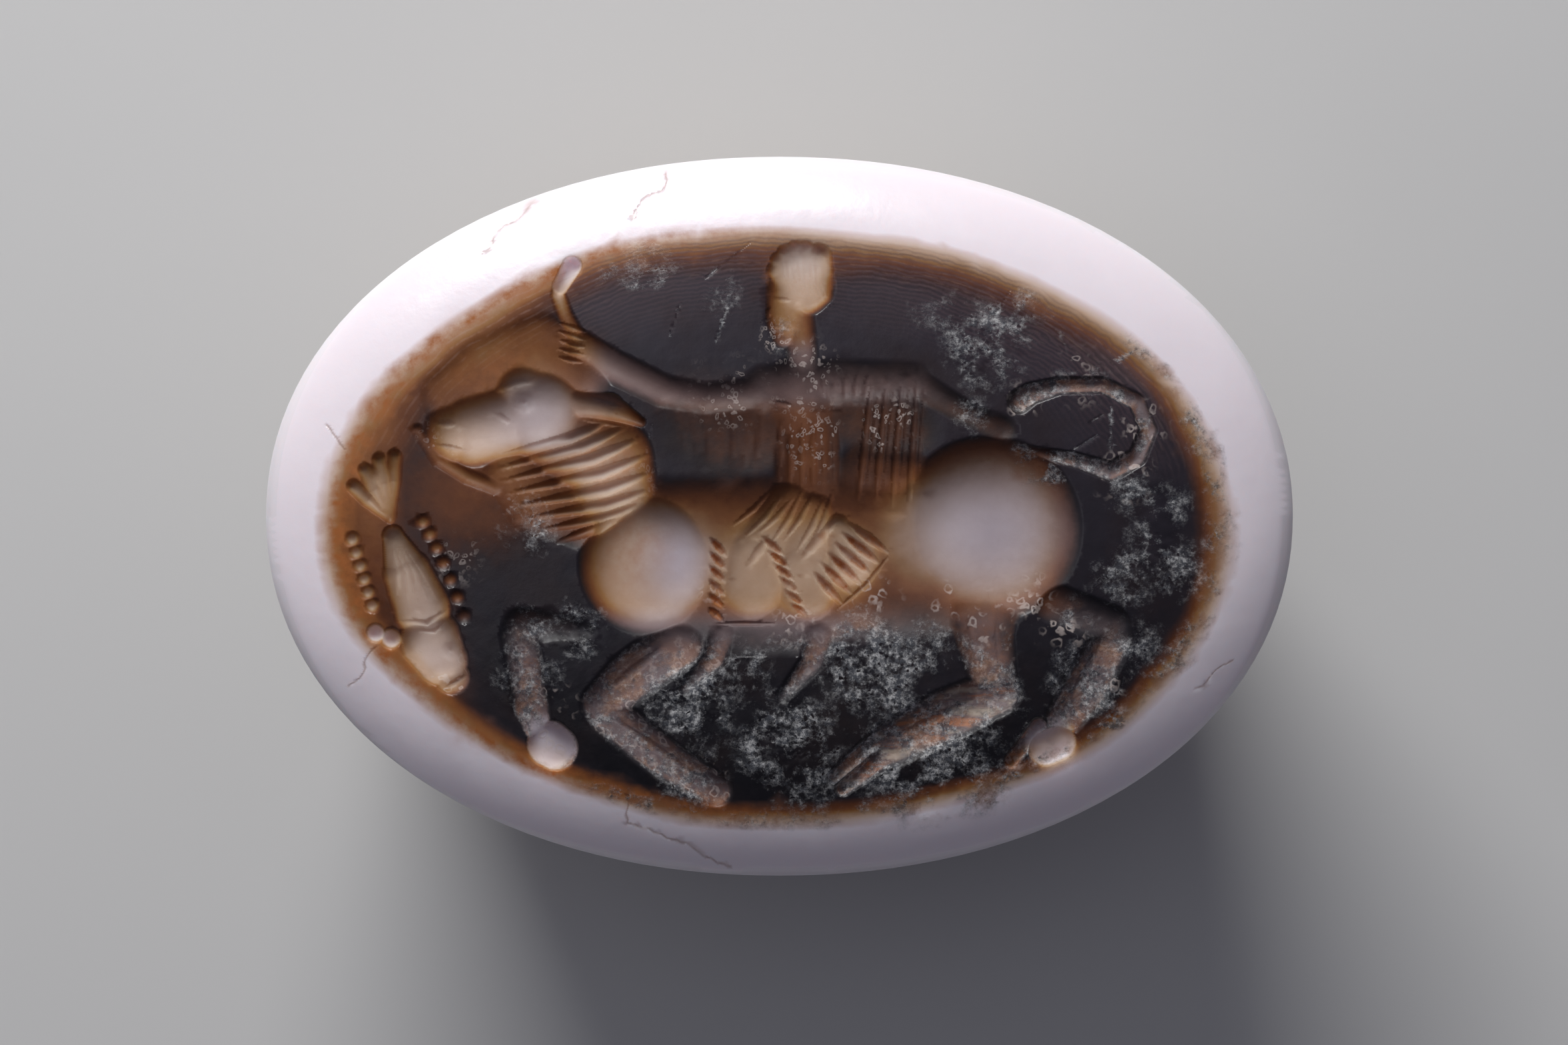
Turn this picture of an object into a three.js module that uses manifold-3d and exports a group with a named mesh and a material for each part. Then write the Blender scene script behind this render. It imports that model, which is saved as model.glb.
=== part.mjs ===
// A scarab seal of layered agate. The engraved face looks up and the beetle carved on the back looks down,
// so the seal lies on a small flat worn on the beetle's back. Its device is cut into the stone: a rider
// sitting sideways on a walking bull, with a diving fish in front of them. The whole seal is one stone.
//
// Millimetres, +Z up. X runs along the seal and Y across it. The origin is the middle of the resting flat.
import * as THREE from "three";
import { mergeVertices } from "three/addons/utils/BufferGeometryUtils.js";
import Module from "manifold-3d";

const wasm = await Module();
wasm.setup();

// The stone
const LENGTH = 18.0;
const WIDTH = 12.6;
const HEIGHT = 9.0;
const OUTLINE_POWER = 2.08; // 2 is an ellipse, and more is fuller towards the corners
const FACE_CROWN = 0.35; // how far the face curves down, as a plain dome, from its middle to its edge
const SHOULDER_DROP = 0.75; // how much further the rounded shoulder falls at the edge
const SHOULDER_POWER = 8; // how late the shoulder starts to fall
const RIM_WIDTH = 1.2; // the pale rim left round the dark engraved field

// The plinth under the face, and the beetle below it
const PLINTH_HEIGHT = 1.5;
const PLINTH_TAPER = 0.1; // how far the plinth's side leans in
const PLINTH_BEVEL = 0.15; // on its lower edge
const NECK_HEIGHT = 0.6; // the groove between plinth and beetle
const NECK_DEPTH = 0.45; // how far that groove goes in behind the beetle's widest line
const BEETLE_INSET = 0.6; // the beetle's widest line, in from the plinth's edge
const BEETLE_SWELL = 0.7; // height from the groove down to the beetle's widest line
const REST_SHARE = 0.27; // the worn flat, as a share of the beetle's own length and width
const LEG_WIDTH = 0.8;
const LEG_RAISE = 0.22;
const LEG_BOW = 0.08; // how far a leg bows forward, as a share of the beetle's half length
const LINE_WIDTH = 0.42; // the lines that part head, thorax and wing cases
const LINE_DEPTH = 0.15;

// The carving of the face
const CUT_SHARE = 0.65; // how deep its cuts go, as a share of the depths that they are drawn with
const ROUNDING = 1.12; // how much wider a cut starts for its worn, rounded lip
const CREASE = 0.05; // how softly two cuts meet

// The hole for a swivel ring's wire, and the small flats round its mouths
const BORE_DIAMETER = 1.5;
const BORE_DROP = 1.05; // its axis, below the beetle's widest line
const BORE_SIDES = 20;
const END_FLAT = 0.42; // how much the flats take off each end of the beetle

// The layers of the stone, down from the middle of the face
const DARK_LAYER = 0.3;
const BROWN_LAYER = 0.24;
const WHITE_LAYER = 3.2;
const DARK = new THREE.Color(0.035, 0.03, 0.035);
const BROWN = new THREE.Color(0.3, 0.13, 0.045);
const WHITE = new THREE.Color(0.8, 0.76, 0.76);
const HONEY = new THREE.Color(0.42, 0.24, 0.13);

// How finely the surface is followed
const GRID = 256; // cells along each side of the face's finest grid, a power of two
const FACE_TOLERANCE = 0.047;
const RING_POINTS = 64; // points in each ring round the back
const DOME_RINGS = 7;
const PATH_STEPS = 12; // along a leg or a carved line
const PATH_SIDES = 6;

const halfLength = LENGTH / 2;
const halfWidth = WIDTH / 2;
const edgeHeight = HEIGHT - FACE_CROWN - SHOULDER_DROP;
const plinthFoot = edgeHeight - PLINTH_HEIGHT;
const neckFoot = plinthFoot - NECK_HEIGHT;
const widestHeight = neckFoot - BEETLE_SWELL;
const beetleHalfLength = halfLength - BEETLE_INSET;
const beetleHalfWidth = halfWidth - BEETLE_INSET;
const boreHeight = widestHeight - BORE_DROP;

const mix = (a, b, t) => a + (b - a) * t;
const clamp = (v, low, high) => Math.min(high, Math.max(low, v));
const mixPoints = (a, b, t) => a.map((value, i) => mix(value, b[i], t));

// The device. It is drawn on a field of 15.6 by 10.3 units, with the field's middle as 0, 0. A cut is a path
// of discs, each [x, y, half width, depth], and its power says how steep its walls are: 2 is a bowl, 5 a flat
// floor.
const FIELD_UNITS = [15.6, 10.3];
const unit = Math.min(
  (LENGTH - 2 * RIM_WIDTH) / FIELD_UNITS[0],
  (WIDTH - 2 * RIM_WIDTH) / (FIELD_UNITS[1] - 0.1),
);
const cut = (power, ...discs) => ({ power, discs });
const line = (...discs) => cut(2, ...discs);
// A boat-shaped wheel cut: shallow and narrow at both ends, widest and deepest in the middle.
const boat = (from, to, width, depth) => {
  const middle = mixPoints(from, to, 0.5);
  return line([...from, width * 0.35, 0], [...middle, width, depth], [...to, width * 0.35, 0]);
};

function bull() {
  const masses = [
    // Haunch, belly and chest
    cut(3.2, [3.62, -0.22, 1.62, 0.8]),
    cut(2, [2.75, 0, 1, 0.52]),
    cut(2.4, [-1.9, -0.8, 1.45, 0.44], [0.6, -0.75, 1.5, 0.42], [3, -0.6, 1.45, 0.44]),
    cut(4, [-2.24, -0.84, 1.24, 0.78]),
    // Neck and dewlap
    cut(2.6, [-3.7, 1.3, 0.75, 0.5], [-3, 0.95, 0.85, 0.54], [-2.9, 0.45, 0.8, 0.52],
      [-2.65, -0.2, 0.65, 0.5]),
    cut(2, [-4.6, 0.8, 0.5, 0.24], [-4.1, 0.3, 0.65, 0.28], [-3.4, 0, 0.6, 0.34]),
    // Cheek, muzzle, lip and the shallow hollow over the brow
    cut(2.4, [-4.15, 1.78, 0.86, 0.78]),
    cut(2.2, [-4.4, 2.1, 0.62, 0.58]),
    cut(2.1, [-4.5, 1.7, 0.7, 0.62], [-5.3, 1.5, 0.66, 0.58], [-5.6, 1.46, 0.56, 0.5]),
    cut(2, [-6.28, 1.5, 0.1, 0.1], [-5.9, 0.98, 0.13, 0.14], [-5.4, 0.68, 0.13, 0.14],
      [-4.9, 0.5, 0.14, 0.12]),
    cut(2.6, [-5.7, 2.1, 0.5, 0.15], [-5, 2.5, 0.64, 0.2], [-4.1, 2.95, 0.58, 0.22]),
    cut(2, [-4.2, 2.7, 0.6, 0.3], [-3.4, 2.4, 0.5, 0.34]),
    // Ear and horn
    cut(2.4, [-3.55, 1.92, 0.34, 0.5], [-2.95, 1.86, 0.28, 0.46], [-2.4, 1.62, 0.1, 0.2]),
    cut(2, [-3.5, 3, 0.2, 0.2], [-3.72, 3.5, 0.15, 0.18], [-3.84, 3.85, 0.13, 0.2]),
    cut(3, [-3.8, 3.98, 0.15, 0.34], [-3.6, 4.34, 0.18, 0.38]),
    // Near hind leg
    cut(2.4, [3.5, -0.7, 1, 0.5], [3.5, -1.5, 0.72, 0.44], [3.55, -2.1, 0.52, 0.4], [3.7, -2.8, 0.42, 0.34]),
    cut(2.4, [3.78, -3.05, 0.42, 0.36], [2.9, -3.45, 0.48, 0.36], [1.95, -3.95, 0.42, 0.34]),
    cut(2.4, [1.95, -4.05, 0.24, 0.3], [1.1, -4.72, 0.15, 0.26]),
    cut(2.4, [1.6, -3.95, 0.18, 0.24], [0.95, -4.52, 0.13, 0.2]),
    // Far hind leg
    cut(2.4, [4.75, -1.5, 0.36, 0.28], [5.75, -1.9, 0.36, 0.3]),
    cut(2.4, [5.78, -2.1, 0.36, 0.3], [5.3, -3, 0.42, 0.32], [4.95, -3.5, 0.34, 0.3]),
    cut(3, [4.62, -4.02, 0.32, 0.4], [4.85, -3.92, 0.32, 0.4]),
    cut(2.4, [4.5, -3.65, 0.17, 0.26], [4.02, -4.25, 0.13, 0.24]),
    // Near foreleg
    cut(2.4, [-1.75, -2.2, 0.48, 0.36], [-2.6, -2.8, 0.46, 0.36], [-3.05, -3.25, 0.4, 0.36]),
    cut(2.4, [-3, -3.4, 0.38, 0.34], [-2, -4.2, 0.37, 0.34], [-1.1, -4.75, 0.3, 0.3]),
    // Far foreleg, raised
    cut(2, [-3.35, -1.98, 0.16, 0.08], [-4, -1.9, 0.28, 0.18], [-4.45, -1.92, 0.36, 0.26]),
    cut(2.4, [-4.48, -2.05, 0.36, 0.28], [-4.38, -2.8, 0.32, 0.28], [-4.3, -3.3, 0.34, 0.32],
      [-4.2, -3.65, 0.26, 0.3]),
    cut(3, [-3.98, -3.95, 0.42, 0.42], [-3.88, -4.02, 0.4, 0.42]),
    // Tail, curled over the rump
    cut(2.2, [4.2, 1.15, 0.09, 0.1], [5.1, 0.98, 0.14, 0.18], [5.75, 0.77, 0.18, 0.22],
      [6.2, 1.02, 0.17, 0.22], [6.4, 1.5, 0.16, 0.2], [6.2, 1.98, 0.16, 0.2], [5.6, 2.27, 0.15, 0.2],
      [4.85, 2.26, 0.16, 0.2], [4.35, 2.12, 0.2, 0.22], [4.15, 1.98, 0.22, 0.22]),
  ];
  const lines = [
    boat([-4.95, 2.15], [-4.2, 2.35], 0.16, 0.1),
    boat([-3.4, 1.95], [-2.6, 1.7], 0.12, 0.08),
    boat([-6.0, 1.25], [-5.4, 1.12], 0.1, 0.1),
  ];
  // Folds of the neck and dewlap fan out from the nape to the throat
  const FOLDS = 6;
  for (let i = 0; i < FOLDS; i++) {
    const t = i / (FOLDS - 1);
    const turn = ((82 - 148 * t) * Math.PI) / 180;
    const nape = [-3.02 + 0.86 * Math.cos(turn), 0.82 + 0.84 * Math.sin(turn)];
    const throat = [-4.95 + 1.05 * t * t, 1.02 - 1.5 * t];
    const bend = mixPoints(nape, throat, 0.4);
    bend[1] -= 0.09;
    lines.push(line([...nape, 0.08, 0.05], [...bend, 0.155, 0.2], [...throat, 0.08, 0.05]));
  }
  return { masses, lines };
}

function rider() {
  const masses = [
    // Hair, face, chin and neck
    cut(4, [0.36, 4.2, 0.55, 0.34], [0.42, 3.95, 0.5, 0.33]),
    cut(2.6, [0.2, 3.8, 0.46, 0.31], [0.1, 3.4, 0.34, 0.27], [0.08, 3.12, 0.22, 0.2]),
    cut(2, [0.34, 3.5, 0.26, 0.22], [0.4, 2.6, 0.3, 0.2]),
    // Shoulders, body and hips
    cut(2, [-0.2, 2.15, 0.46, 0.22], [1, 2.3, 0.42, 0.19], [2.3, 2.3, 0.34, 0.16]),
    cut(2.4, [0.3, 2.1, 0.64, 0.32], [0.45, 1.5, 0.58, 0.26], [0.5, 0.7, 0.62, 0.28], [0.5, 0.1, 0.7, 0.36]),
    // Veil under the stretched arm, and cloak behind
    cut(2, [-1.5, 1.5, 0.65, 0.06], [-0.9, 1.35, 0.8, 0.09], [-0.3, 1.4, 0.65, 0.12]),
    cut(2, [1.3, 1.7, 0.55, 0.08], [1.9, 1.6, 0.75, 0.12], [2.2, 1.5, 0.55, 0.1]),
    cut(2, [1.55, 0.7, 0.6, 0.2], [2.1, 0.6, 0.6, 0.24]),
    // The arm stretched to the horn, with its hand, and the arm laid back on the rump
    cut(2, [-0.4, 2.12, 0.28, 0.22], [-1.3, 2.02, 0.28, 0.22], [-2, 2.16, 0.29, 0.25], [-2.9, 2.6, 0.3, 0.3],
      [-3.45, 2.88, 0.34, 0.32]),
    cut(2, [2.35, 2.3, 0.25, 0.16], [3.05, 1.88, 0.23, 0.17], [3.4, 1.7, 0.2, 0.14], [3.85, 1.5, 0.26, 0.14]),
    // Skirt, in three stepped panels
    cut(4, [0.2, 0.1, 0.55, 0.46], [-0.42, -0.75, 0.68, 0.54], [-0.48, -1.15, 0.72, 0.54]),
    cut(4, [0.55, 0, 0.5, 0.5], [0.4, -0.9, 0.6, 0.58], [0.5, -1.25, 0.64, 0.56]),
    cut(4, [1, -0.2, 0.3, 0.54], [1.25, -0.7, 0.64, 0.56]),
    // Feet below the hem
    cut(2, [-0.65, -2, 0.42, 0.14], [0.2, -2, 0.42, 0.14]),
    cut(2.4, [-1, -2, 0.28, 0.28], [-1.12, -2.45, 0.22, 0.24], [-1.62, -2.98, 0.13, 0.12]),
    cut(2.4, [0.66, -2, 0.3, 0.28], [0.58, -2.5, 0.22, 0.22], [0.05, -3.12, 0.12, 0.1]),
  ];
  const lines = [boat([1.05, 0.05], [0.35, -0.8], 0.16, 0.12)];
  // Folds of the veil under the stretched arm, of the dress over the body, and of the cloak behind
  const SETS = [
    { count: 3, from: [-1.6, 2.05], to: [-1.35, 0.75], apart: 0.42 },
    { count: 3, from: [0.12, 1.7], to: [0.12, 0.4], apart: 0.36 },
    { count: 3, from: [1.62, 2.5], to: [1.42, 0.15], apart: 0.36 },
  ];
  for (const { count, from, to, apart } of SETS)
    for (let i = 0; i < count; i++) {
      const aside = apart * i;
      lines.push(boat([from[0] + aside, from[1]], [to[0] + aside, to[1]], 0.14, 0.16));
    }
  // Toothed hems of the panels
  for (let i = 0; i < 4; i++) {
    const t = i / 3;
    lines.push(boat([1.22 - 0.56 * t, -0.15 - 0.86 * t], [1.84 - 0.78 * t, -0.62 - 0.9 * t], 0.11, 0.18));
    lines.push(boat([-0.28 + 0.5 * t, -0.38 - 1.15 * t], [0.05 + 0.42 * t, -0.68 - 1.08 * t], 0.11, 0.16));
  }
  return { masses, lines };
}

function fish() {
  const masses = [
    // Body, head, side fin and tail
    cut(3, [-6.7, -0.35, 0.2, 0.3], [-6.45, -1, 0.44, 0.44], [-6.2, -1.6, 0.52, 0.48]),
    cut(3, [-6.05, -2.15, 0.56, 0.54], [-5.85, -2.5, 0.46, 0.5], [-5.68, -2.78, 0.32, 0.36]),
    cut(2.4, [-7.02, -2.03, 0.17, 0.26]),
    cut(2.4, [-6.74, -2.12, 0.19, 0.28]),
    cut(2.4, [-6.75, 0, 0.1, 0.16], [-6.95, 0.62, 0.3, 0.24]),
  ];
  for (const tip of [[-7.38, 0.54], [-7.05, 0.92], [-6.68, 1.04]]) {
    const joint = [-6.75, -0.05];
    const middle = mixPoints(joint, tip, 0.6);
    masses.push(cut(2.2, [...joint, 0.08, 0.12], [...middle, 0.15, 0.3], [...tip, 0.14, 0.22]));
  }
  // A row of beads down each side for the fins
  for (let i = 0; i < 5; i++) masses.push(cut(2, [-6.18 + 0.17 * i, -0.14 - 0.32 * i, 0.17, 0.17]));
  for (let i = 0; i < 4; i++) masses.push(cut(2, [-7.4 + 0.1 * i, -0.45 - 0.34 * i, 0.17, 0.18]));
  const lines = [boat([-6.6, -1.85], [-5.75, -1.6], 0.1, 0.1)];
  return { masses, lines };
}

// Each path's own box, so that points far from it are passed over quickly.
function boxed(path) {
  const reach = { low: [Infinity, Infinity], high: [-Infinity, -Infinity] };
  const discs = path.discs.map(([x, y, width, depth]) => [x, y, width * ROUNDING, depth]);
  for (const [x, y, width] of discs)
    [x, y].forEach((v, k) => {
      reach.low[k] = Math.min(reach.low[k], v - width);
      reach.high[k] = Math.max(reach.high[k], v + width);
    });
  return { ...path, ...reach, discs };
}
const figures = [bull(), rider(), fish()];
const masses = figures.flatMap((figure) => figure.masses).map(boxed);
const lines = figures.flatMap((figure) => figure.lines).map(boxed);

const worn = (f) => f * f * (3 - 2 * f);

function pathDepth({ power, discs, low, high }, x, y) {
  if (x < low[0] || x > high[0] || y < low[1] || y > high[1]) return 0;
  let deepest = 0;
  for (let i = 0; i < Math.max(1, discs.length - 1); i++) {
    const [x0, y0, w0, d0] = discs[i];
    const [x1, y1, w1, d1] = discs[Math.min(i + 1, discs.length - 1)];
    const run = [x1 - x0, y1 - y0];
    const along = ((x - x0) * run[0] + (y - y0) * run[1]) / (run[0] ** 2 + run[1] ** 2 || 1);
    const t = clamp(along, 0, 1);
    const share = Math.hypot(x - x0 - t * run[0], y - y0 - t * run[1]) / mix(w0, w1, t);
    if (share < 1) deepest = Math.max(deepest, mix(d0, d1, t) * worn(1 - share ** power));
  }
  return deepest;
}

// How deep the device is cut at a point of the face. Masses meet in soft creases, and lines are cut into
// them.
function engraving(x, y) {
  const u = x / unit;
  const v = y / unit;
  let depth = 0;
  for (const path of masses) {
    const next = pathDepth(path, u, v);
    const blend = next > 0 && depth > 0 ? Math.max(CREASE - Math.abs(next - depth), 0) / CREASE : 0;
    depth = Math.max(depth, next) + (blend * blend * CREASE) / 4;
  }
  let lined = 0;
  for (const path of lines) lined = Math.max(lined, pathDepth(path, u, v));
  return (depth + lined) * CUT_SHARE * unit;
}

// The face is charted on a square. Its middle is the face's middle and its border the stone's edge: a point
// of the square becomes a direction and a share of the way out to the edge.
function polar(u, v) {
  const p = u * Math.sqrt(1 - (v * v) / 2);
  const q = v * Math.sqrt(1 - (u * u) / 2);
  const share = Math.hypot(p, q);
  if (share === 0) return { share, cos: 1, sin: 0 };
  return { share: Math.min(1, share), cos: p / share, sin: q / share };
}

// The outline in a direction, and its outward normal there.
function outline({ cos, sin }) {
  const reach = (Math.abs(cos) ** OUTLINE_POWER + Math.abs(sin) ** OUTLINE_POWER) ** (-1 / OUTLINE_POWER);
  const slope = OUTLINE_POWER - 1;
  const nx = (Math.sign(cos) * Math.abs(cos * reach) ** slope) / halfLength;
  const ny = (Math.sign(sin) * Math.abs(sin * reach) ** slope) / halfWidth;
  const size = Math.hypot(nx, ny) || 1;
  return { x: halfLength * cos * reach, y: halfWidth * sin * reach, nx: nx / size, ny: ny / size };
}

function facePoint(u, v) {
  const way = polar(u, v);
  const edge = outline(way);
  const x = edge.x * way.share;
  const y = edge.y * way.share;
  const drop = FACE_CROWN * way.share ** 2 + SHOULDER_DROP * way.share ** SHOULDER_POWER;
  return new THREE.Vector3(x, y, HEIGHT - drop - engraving(x, y));
}

// A chart holds, for each point of the grid, its place and the error made by leaving it out.
const ROW = GRID + 1;
const NEARBY = 1e-3;
function chart() {
  const places = [];
  const normals = [];
  const low = (w) => Math.max(-1, w - NEARBY);
  const high = (w) => Math.min(1, w + NEARBY);
  for (let j = 0; j <= GRID; j++)
    for (let i = 0; i <= GRID; i++) {
      const u = (2 * i) / GRID - 1;
      const v = (2 * j) / GRID - 1;
      const alongU = facePoint(high(u), v).sub(facePoint(low(u), v));
      const alongV = facePoint(u, high(v)).sub(facePoint(u, low(v)));
      places.push(facePoint(u, v));
      normals.push(alongU.cross(alongV).normalize());
    }
  return { places, normals, errors: new Float64Array(ROW * ROW) };
}

const onBorder = (i, j) => i === 0 || j === 0 || i === GRID || j === GRID;

// How far the surface at (i, j) stands off the straight line between the points (di, dj) to either side of
// it, in tolerances. On the border, which is the stone's edge, sideways counts too.
function deviation({ places, normals }, i, j, di, dj) {
  const here = j * ROW + i;
  const step = dj * ROW + di;
  const off = places[here + step].clone().add(places[here - step]).multiplyScalar(0.5).sub(places[here]);
  return (onBorder(i, j) ? off.length() : Math.abs(off.dot(normals[here]))) / FACE_TOLERANCE;
}

// Errors grow from the finest squares to the coarsest, and a point is never worth less than those that need
// it.
function measure(face) {
  const { errors } = face;
  const worst = (i, j, offsets) => {
    let most = 0;
    for (const [a, b] of offsets)
      if (i + a >= 0 && j + b >= 0 && i + a <= GRID && j + b <= GRID)
        most = Math.max(most, errors[(j + b) * ROW + i + a]);
    return most;
  };
  for (let square = 2; square <= GRID; square *= 2) {
    const half = square / 2;
    const quarter = square / 4;
    const corners = [[quarter, quarter], [-quarter, quarter], [quarter, -quarter], [-quarter, -quarter]];
    const sides = [[half, 0], [-half, 0], [0, half], [0, -half]];
    const sideMiddle = (i, j, di, dj) => {
      const below = quarter < 1 ? 0 : worst(i, j, corners);
      errors[j * ROW + i] = Math.max(deviation(face, i, j, di, dj), below);
    };
    for (let j = 0; j <= GRID; j += square)
      for (let i = half; i < GRID; i += square) {
        sideMiddle(i, j, half, 0);
        sideMiddle(j, i, 0, half);
      }
    for (let j = half; j < GRID; j += square)
      for (let i = half; i < GRID; i += square) {
        const across = Math.max(deviation(face, i, j, half, half), deviation(face, i, j, half, -half));
        errors[j * ROW + i] = Math.max(across, worst(i, j, sides));
      }
  }
}

// Splits right triangles at the middle of their long side until every error left is under the tolerance.
function triangles({ errors }) {
  const found = [];
  const split = (a, b, c) => {
    const middle = [(a[0] + b[0]) / 2, (a[1] + b[1]) / 2];
    const size = Math.abs(a[0] - c[0]) + Math.abs(a[1] - c[1]);
    if (size > 1 && errors[middle[1] * ROW + middle[0]] > 1) {
      split(c, a, middle);
      split(b, c, middle);
    } else found.push([a, c, b]);
  };
  split([0, 0], [GRID, GRID], [GRID, 0]);
  split([GRID, GRID], [0, 0], [0, GRID]);
  return found;
}

// The back, as rings under the stone's edge: each is an inset from the outline, and a height.
const sideProfile = [
  [PLINTH_TAPER, plinthFoot + PLINTH_BEVEL],
  [PLINTH_TAPER + PLINTH_BEVEL, plinthFoot],
  [BEETLE_INSET + NECK_DEPTH * 0.8, plinthFoot - NECK_HEIGHT * 0.1],
  [BEETLE_INSET + NECK_DEPTH, plinthFoot - NECK_HEIGHT * 0.4],
  [BEETLE_INSET + NECK_DEPTH * 0.8, plinthFoot - NECK_HEIGHT * 0.75],
  [BEETLE_INSET + NECK_DEPTH * 0.4, neckFoot],
  [BEETLE_INSET + NECK_DEPTH * 0.1, neckFoot - BEETLE_SWELL * 0.45],
  [BEETLE_INSET, widestHeight],
];
function insetPoint(way, inset, height, out = 1) {
  const edge = outline(way);
  return new THREE.Vector3((edge.x - edge.nx * inset) * out, (edge.y - edge.ny * inset) * out, height);
}
const towards = (angle) => ({ cos: Math.cos(angle), sin: Math.sin(angle) });

// The beetle's dome is a quarter round from its widest line, at a turn of 1, down to the flat it rests on.
const domeOut = (turn) => mix(REST_SHARE, 1, Math.sin((turn * Math.PI) / 2));
const domeHeight = (turn) => widestHeight * (1 - Math.cos((turn * Math.PI) / 2));

function ring(place) {
  return Array.from({ length: RING_POINTS }, (_, k) => {
    const angle = (k * 2 * Math.PI) / RING_POINTS;
    return { angle, place: place(towards(angle)) };
  });
}

// Face and back as one closed mesh
function closedStone() {
  const face = chart();
  measure(face);
  const places = [];
  const index = [];
  const add = (place) => places.push(...place.toArray()) / 3 - 1;
  const numbers = new Map();
  const edge = [];
  const number = ([i, j]) => {
    const key = j * ROW + i;
    if (!numbers.has(key)) {
      numbers.set(key, add(face.places[key]));
      const { cos, sin } = polar((2 * i) / GRID - 1, (2 * j) / GRID - 1);
      const angle = (Math.atan2(sin, cos) + 2 * Math.PI) % (2 * Math.PI);
      if (onBorder(i, j)) edge.push({ number: numbers.get(key), angle });
    }
    return numbers.get(key);
  };
  for (const corners of triangles(face)) index.push(...corners.map(number));

  const rings = sideProfile.map(([inset, height]) => ring((way) => insetPoint(way, inset, height)));
  for (let k = DOME_RINGS - 1; k >= 0; k--) {
    const turn = k / DOME_RINGS;
    rings.push(ring((way) => insetPoint(way, BEETLE_INSET, domeHeight(turn), domeOut(turn))));
  }
  let above = edge.sort((a, b) => a.angle - b.angle);
  for (const points of rings) {
    const below = points.map(({ angle, place }) => ({ angle, number: add(place) }));
    index.push(...zip(above, below));
    above = below;
  }
  const middle = add(new THREE.Vector3(0, 0, 0));
  above.forEach((point, k) => index.push(middle, above[(k + 1) % above.length].number, point.number));
  return new THREE.BufferGeometry()
    .setAttribute("position", new THREE.Float32BufferAttribute(places, 3))
    .setIndex(index);
}

// Joins two rings with triangles, stepping along whichever is behind.
function zip(above, below) {
  const found = [];
  const next = (points, k) => (k + 1 < points.length ? points[k + 1].angle : points[0].angle + 2 * Math.PI);
  let i = 0;
  let j = 0;
  while (i < above.length || j < below.length) {
    const a = above[i % above.length].number;
    const b = below[j % below.length].number;
    const stepAbove = j >= below.length || (i < above.length && next(above, i) <= next(below, j));
    if (stepAbove) found.push(a, b, above[++i % above.length].number);
    else found.push(a, b, below[++j % below.length].number);
  }
  return found;
}

function solid(geometry) {
  const bare = geometry.clone();
  bare.deleteAttribute("normal");
  bare.deleteAttribute("uv");
  const merged = mergeVertices(bare, 1e-5);
  return new wasm.Manifold(
    new wasm.Mesh({
      numProp: 3,
      vertProperties: new Float32Array(merged.getAttribute("position").array),
      triVerts: new Uint32Array(merged.index.array),
    }),
  );
}

function boreGeometry() {
  return new THREE.CylinderGeometry(BORE_DIAMETER / 2, BORE_DIAMETER / 2, LENGTH, BORE_SIDES)
    .rotateZ(Math.PI / 2)
    .translate(0, 0, boreHeight);
}

// The block that takes a small flat off the beetle's end, on the side that way says.
function endFlatGeometry(way) {
  const low = widestHeight * 0.2;
  const high = plinthFoot - NECK_HEIGHT * 0.6;
  const from = beetleHalfLength - END_FLAT;
  return new THREE.BoxGeometry(halfLength, beetleHalfWidth, high - low).translate(
    way * (from + halfLength / 2),
    0,
    (low + high) / 2,
  );
}

// A round bar along a path, to be joined to the stone or cut from it.
function bar(points, width) {
  const round = new THREE.EllipseCurve(0, 0, width / 2, width / 2);
  const section = new THREE.Shape(round.getPoints(PATH_SIDES).slice(1));
  return new THREE.ExtrudeGeometry(section, {
    extrudePath: new THREE.CatmullRomCurve3(points),
    steps: PATH_STEPS,
    bevelEnabled: false,
    curveSegments: 1,
  });
}

// A point of the beetle's dome, moved out from its surface.
function domePoint(way, turn, away) {
  const edge = outline(way);
  const slope = (turn * Math.PI) / 2;
  const rise = widestHeight * Math.sin(slope);
  const run = (1 - REST_SHARE) * Math.hypot(edge.x, edge.y) * Math.cos(slope);
  const outward = new THREE.Vector3(edge.nx * rise, edge.ny * rise, -run).normalize();
  return insetPoint(way, BEETLE_INSET, domeHeight(turn), domeOut(turn)).addScaledVector(outward, away);
}

// The same for a point given as shares of the beetle's half length and half width
function onDome(along, across, away) {
  const size = Math.hypot(along, across) || 1;
  const out = (Math.abs(along) ** OUTLINE_POWER + Math.abs(across) ** OUTLINE_POWER) ** (1 / OUTLINE_POWER);
  if (out < REST_SHARE) return new THREE.Vector3(along * beetleHalfLength, across * beetleHalfWidth, -away);
  const turn = Math.asin(clamp((out - REST_SHARE) / (1 - REST_SHARE), 0, 1)) / (Math.PI / 2);
  return domePoint({ cos: along / size, sin: across / size }, turn, away);
}

// The lines that part the beetle's head, thorax and wing cases. Its head is at -X, and lines are shares of
// its own half length and half width.
const LINE_RISE = LINE_WIDTH / 2 - LINE_DEPTH;
const steps = (from, to) => Array.from({ length: PATH_STEPS + 1 }, (_, k) => mix(from, to, k / PATH_STEPS));
function beetleLines() {
  const arc = (x, bow, reach) => steps(-reach, reach).map((y) => onDome(x + bow * y * y, y, LINE_RISE));
  const wingCases = steps(-0.32, 0.88).map((x) => onDome(x, 0, LINE_RISE));
  const paths = [arc(-0.32, -0.12, 0.84), arc(-0.72, 0.24, 0.58), wingCases];
  return paths.map((points) => bar(points, LINE_WIDTH));
}

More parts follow.
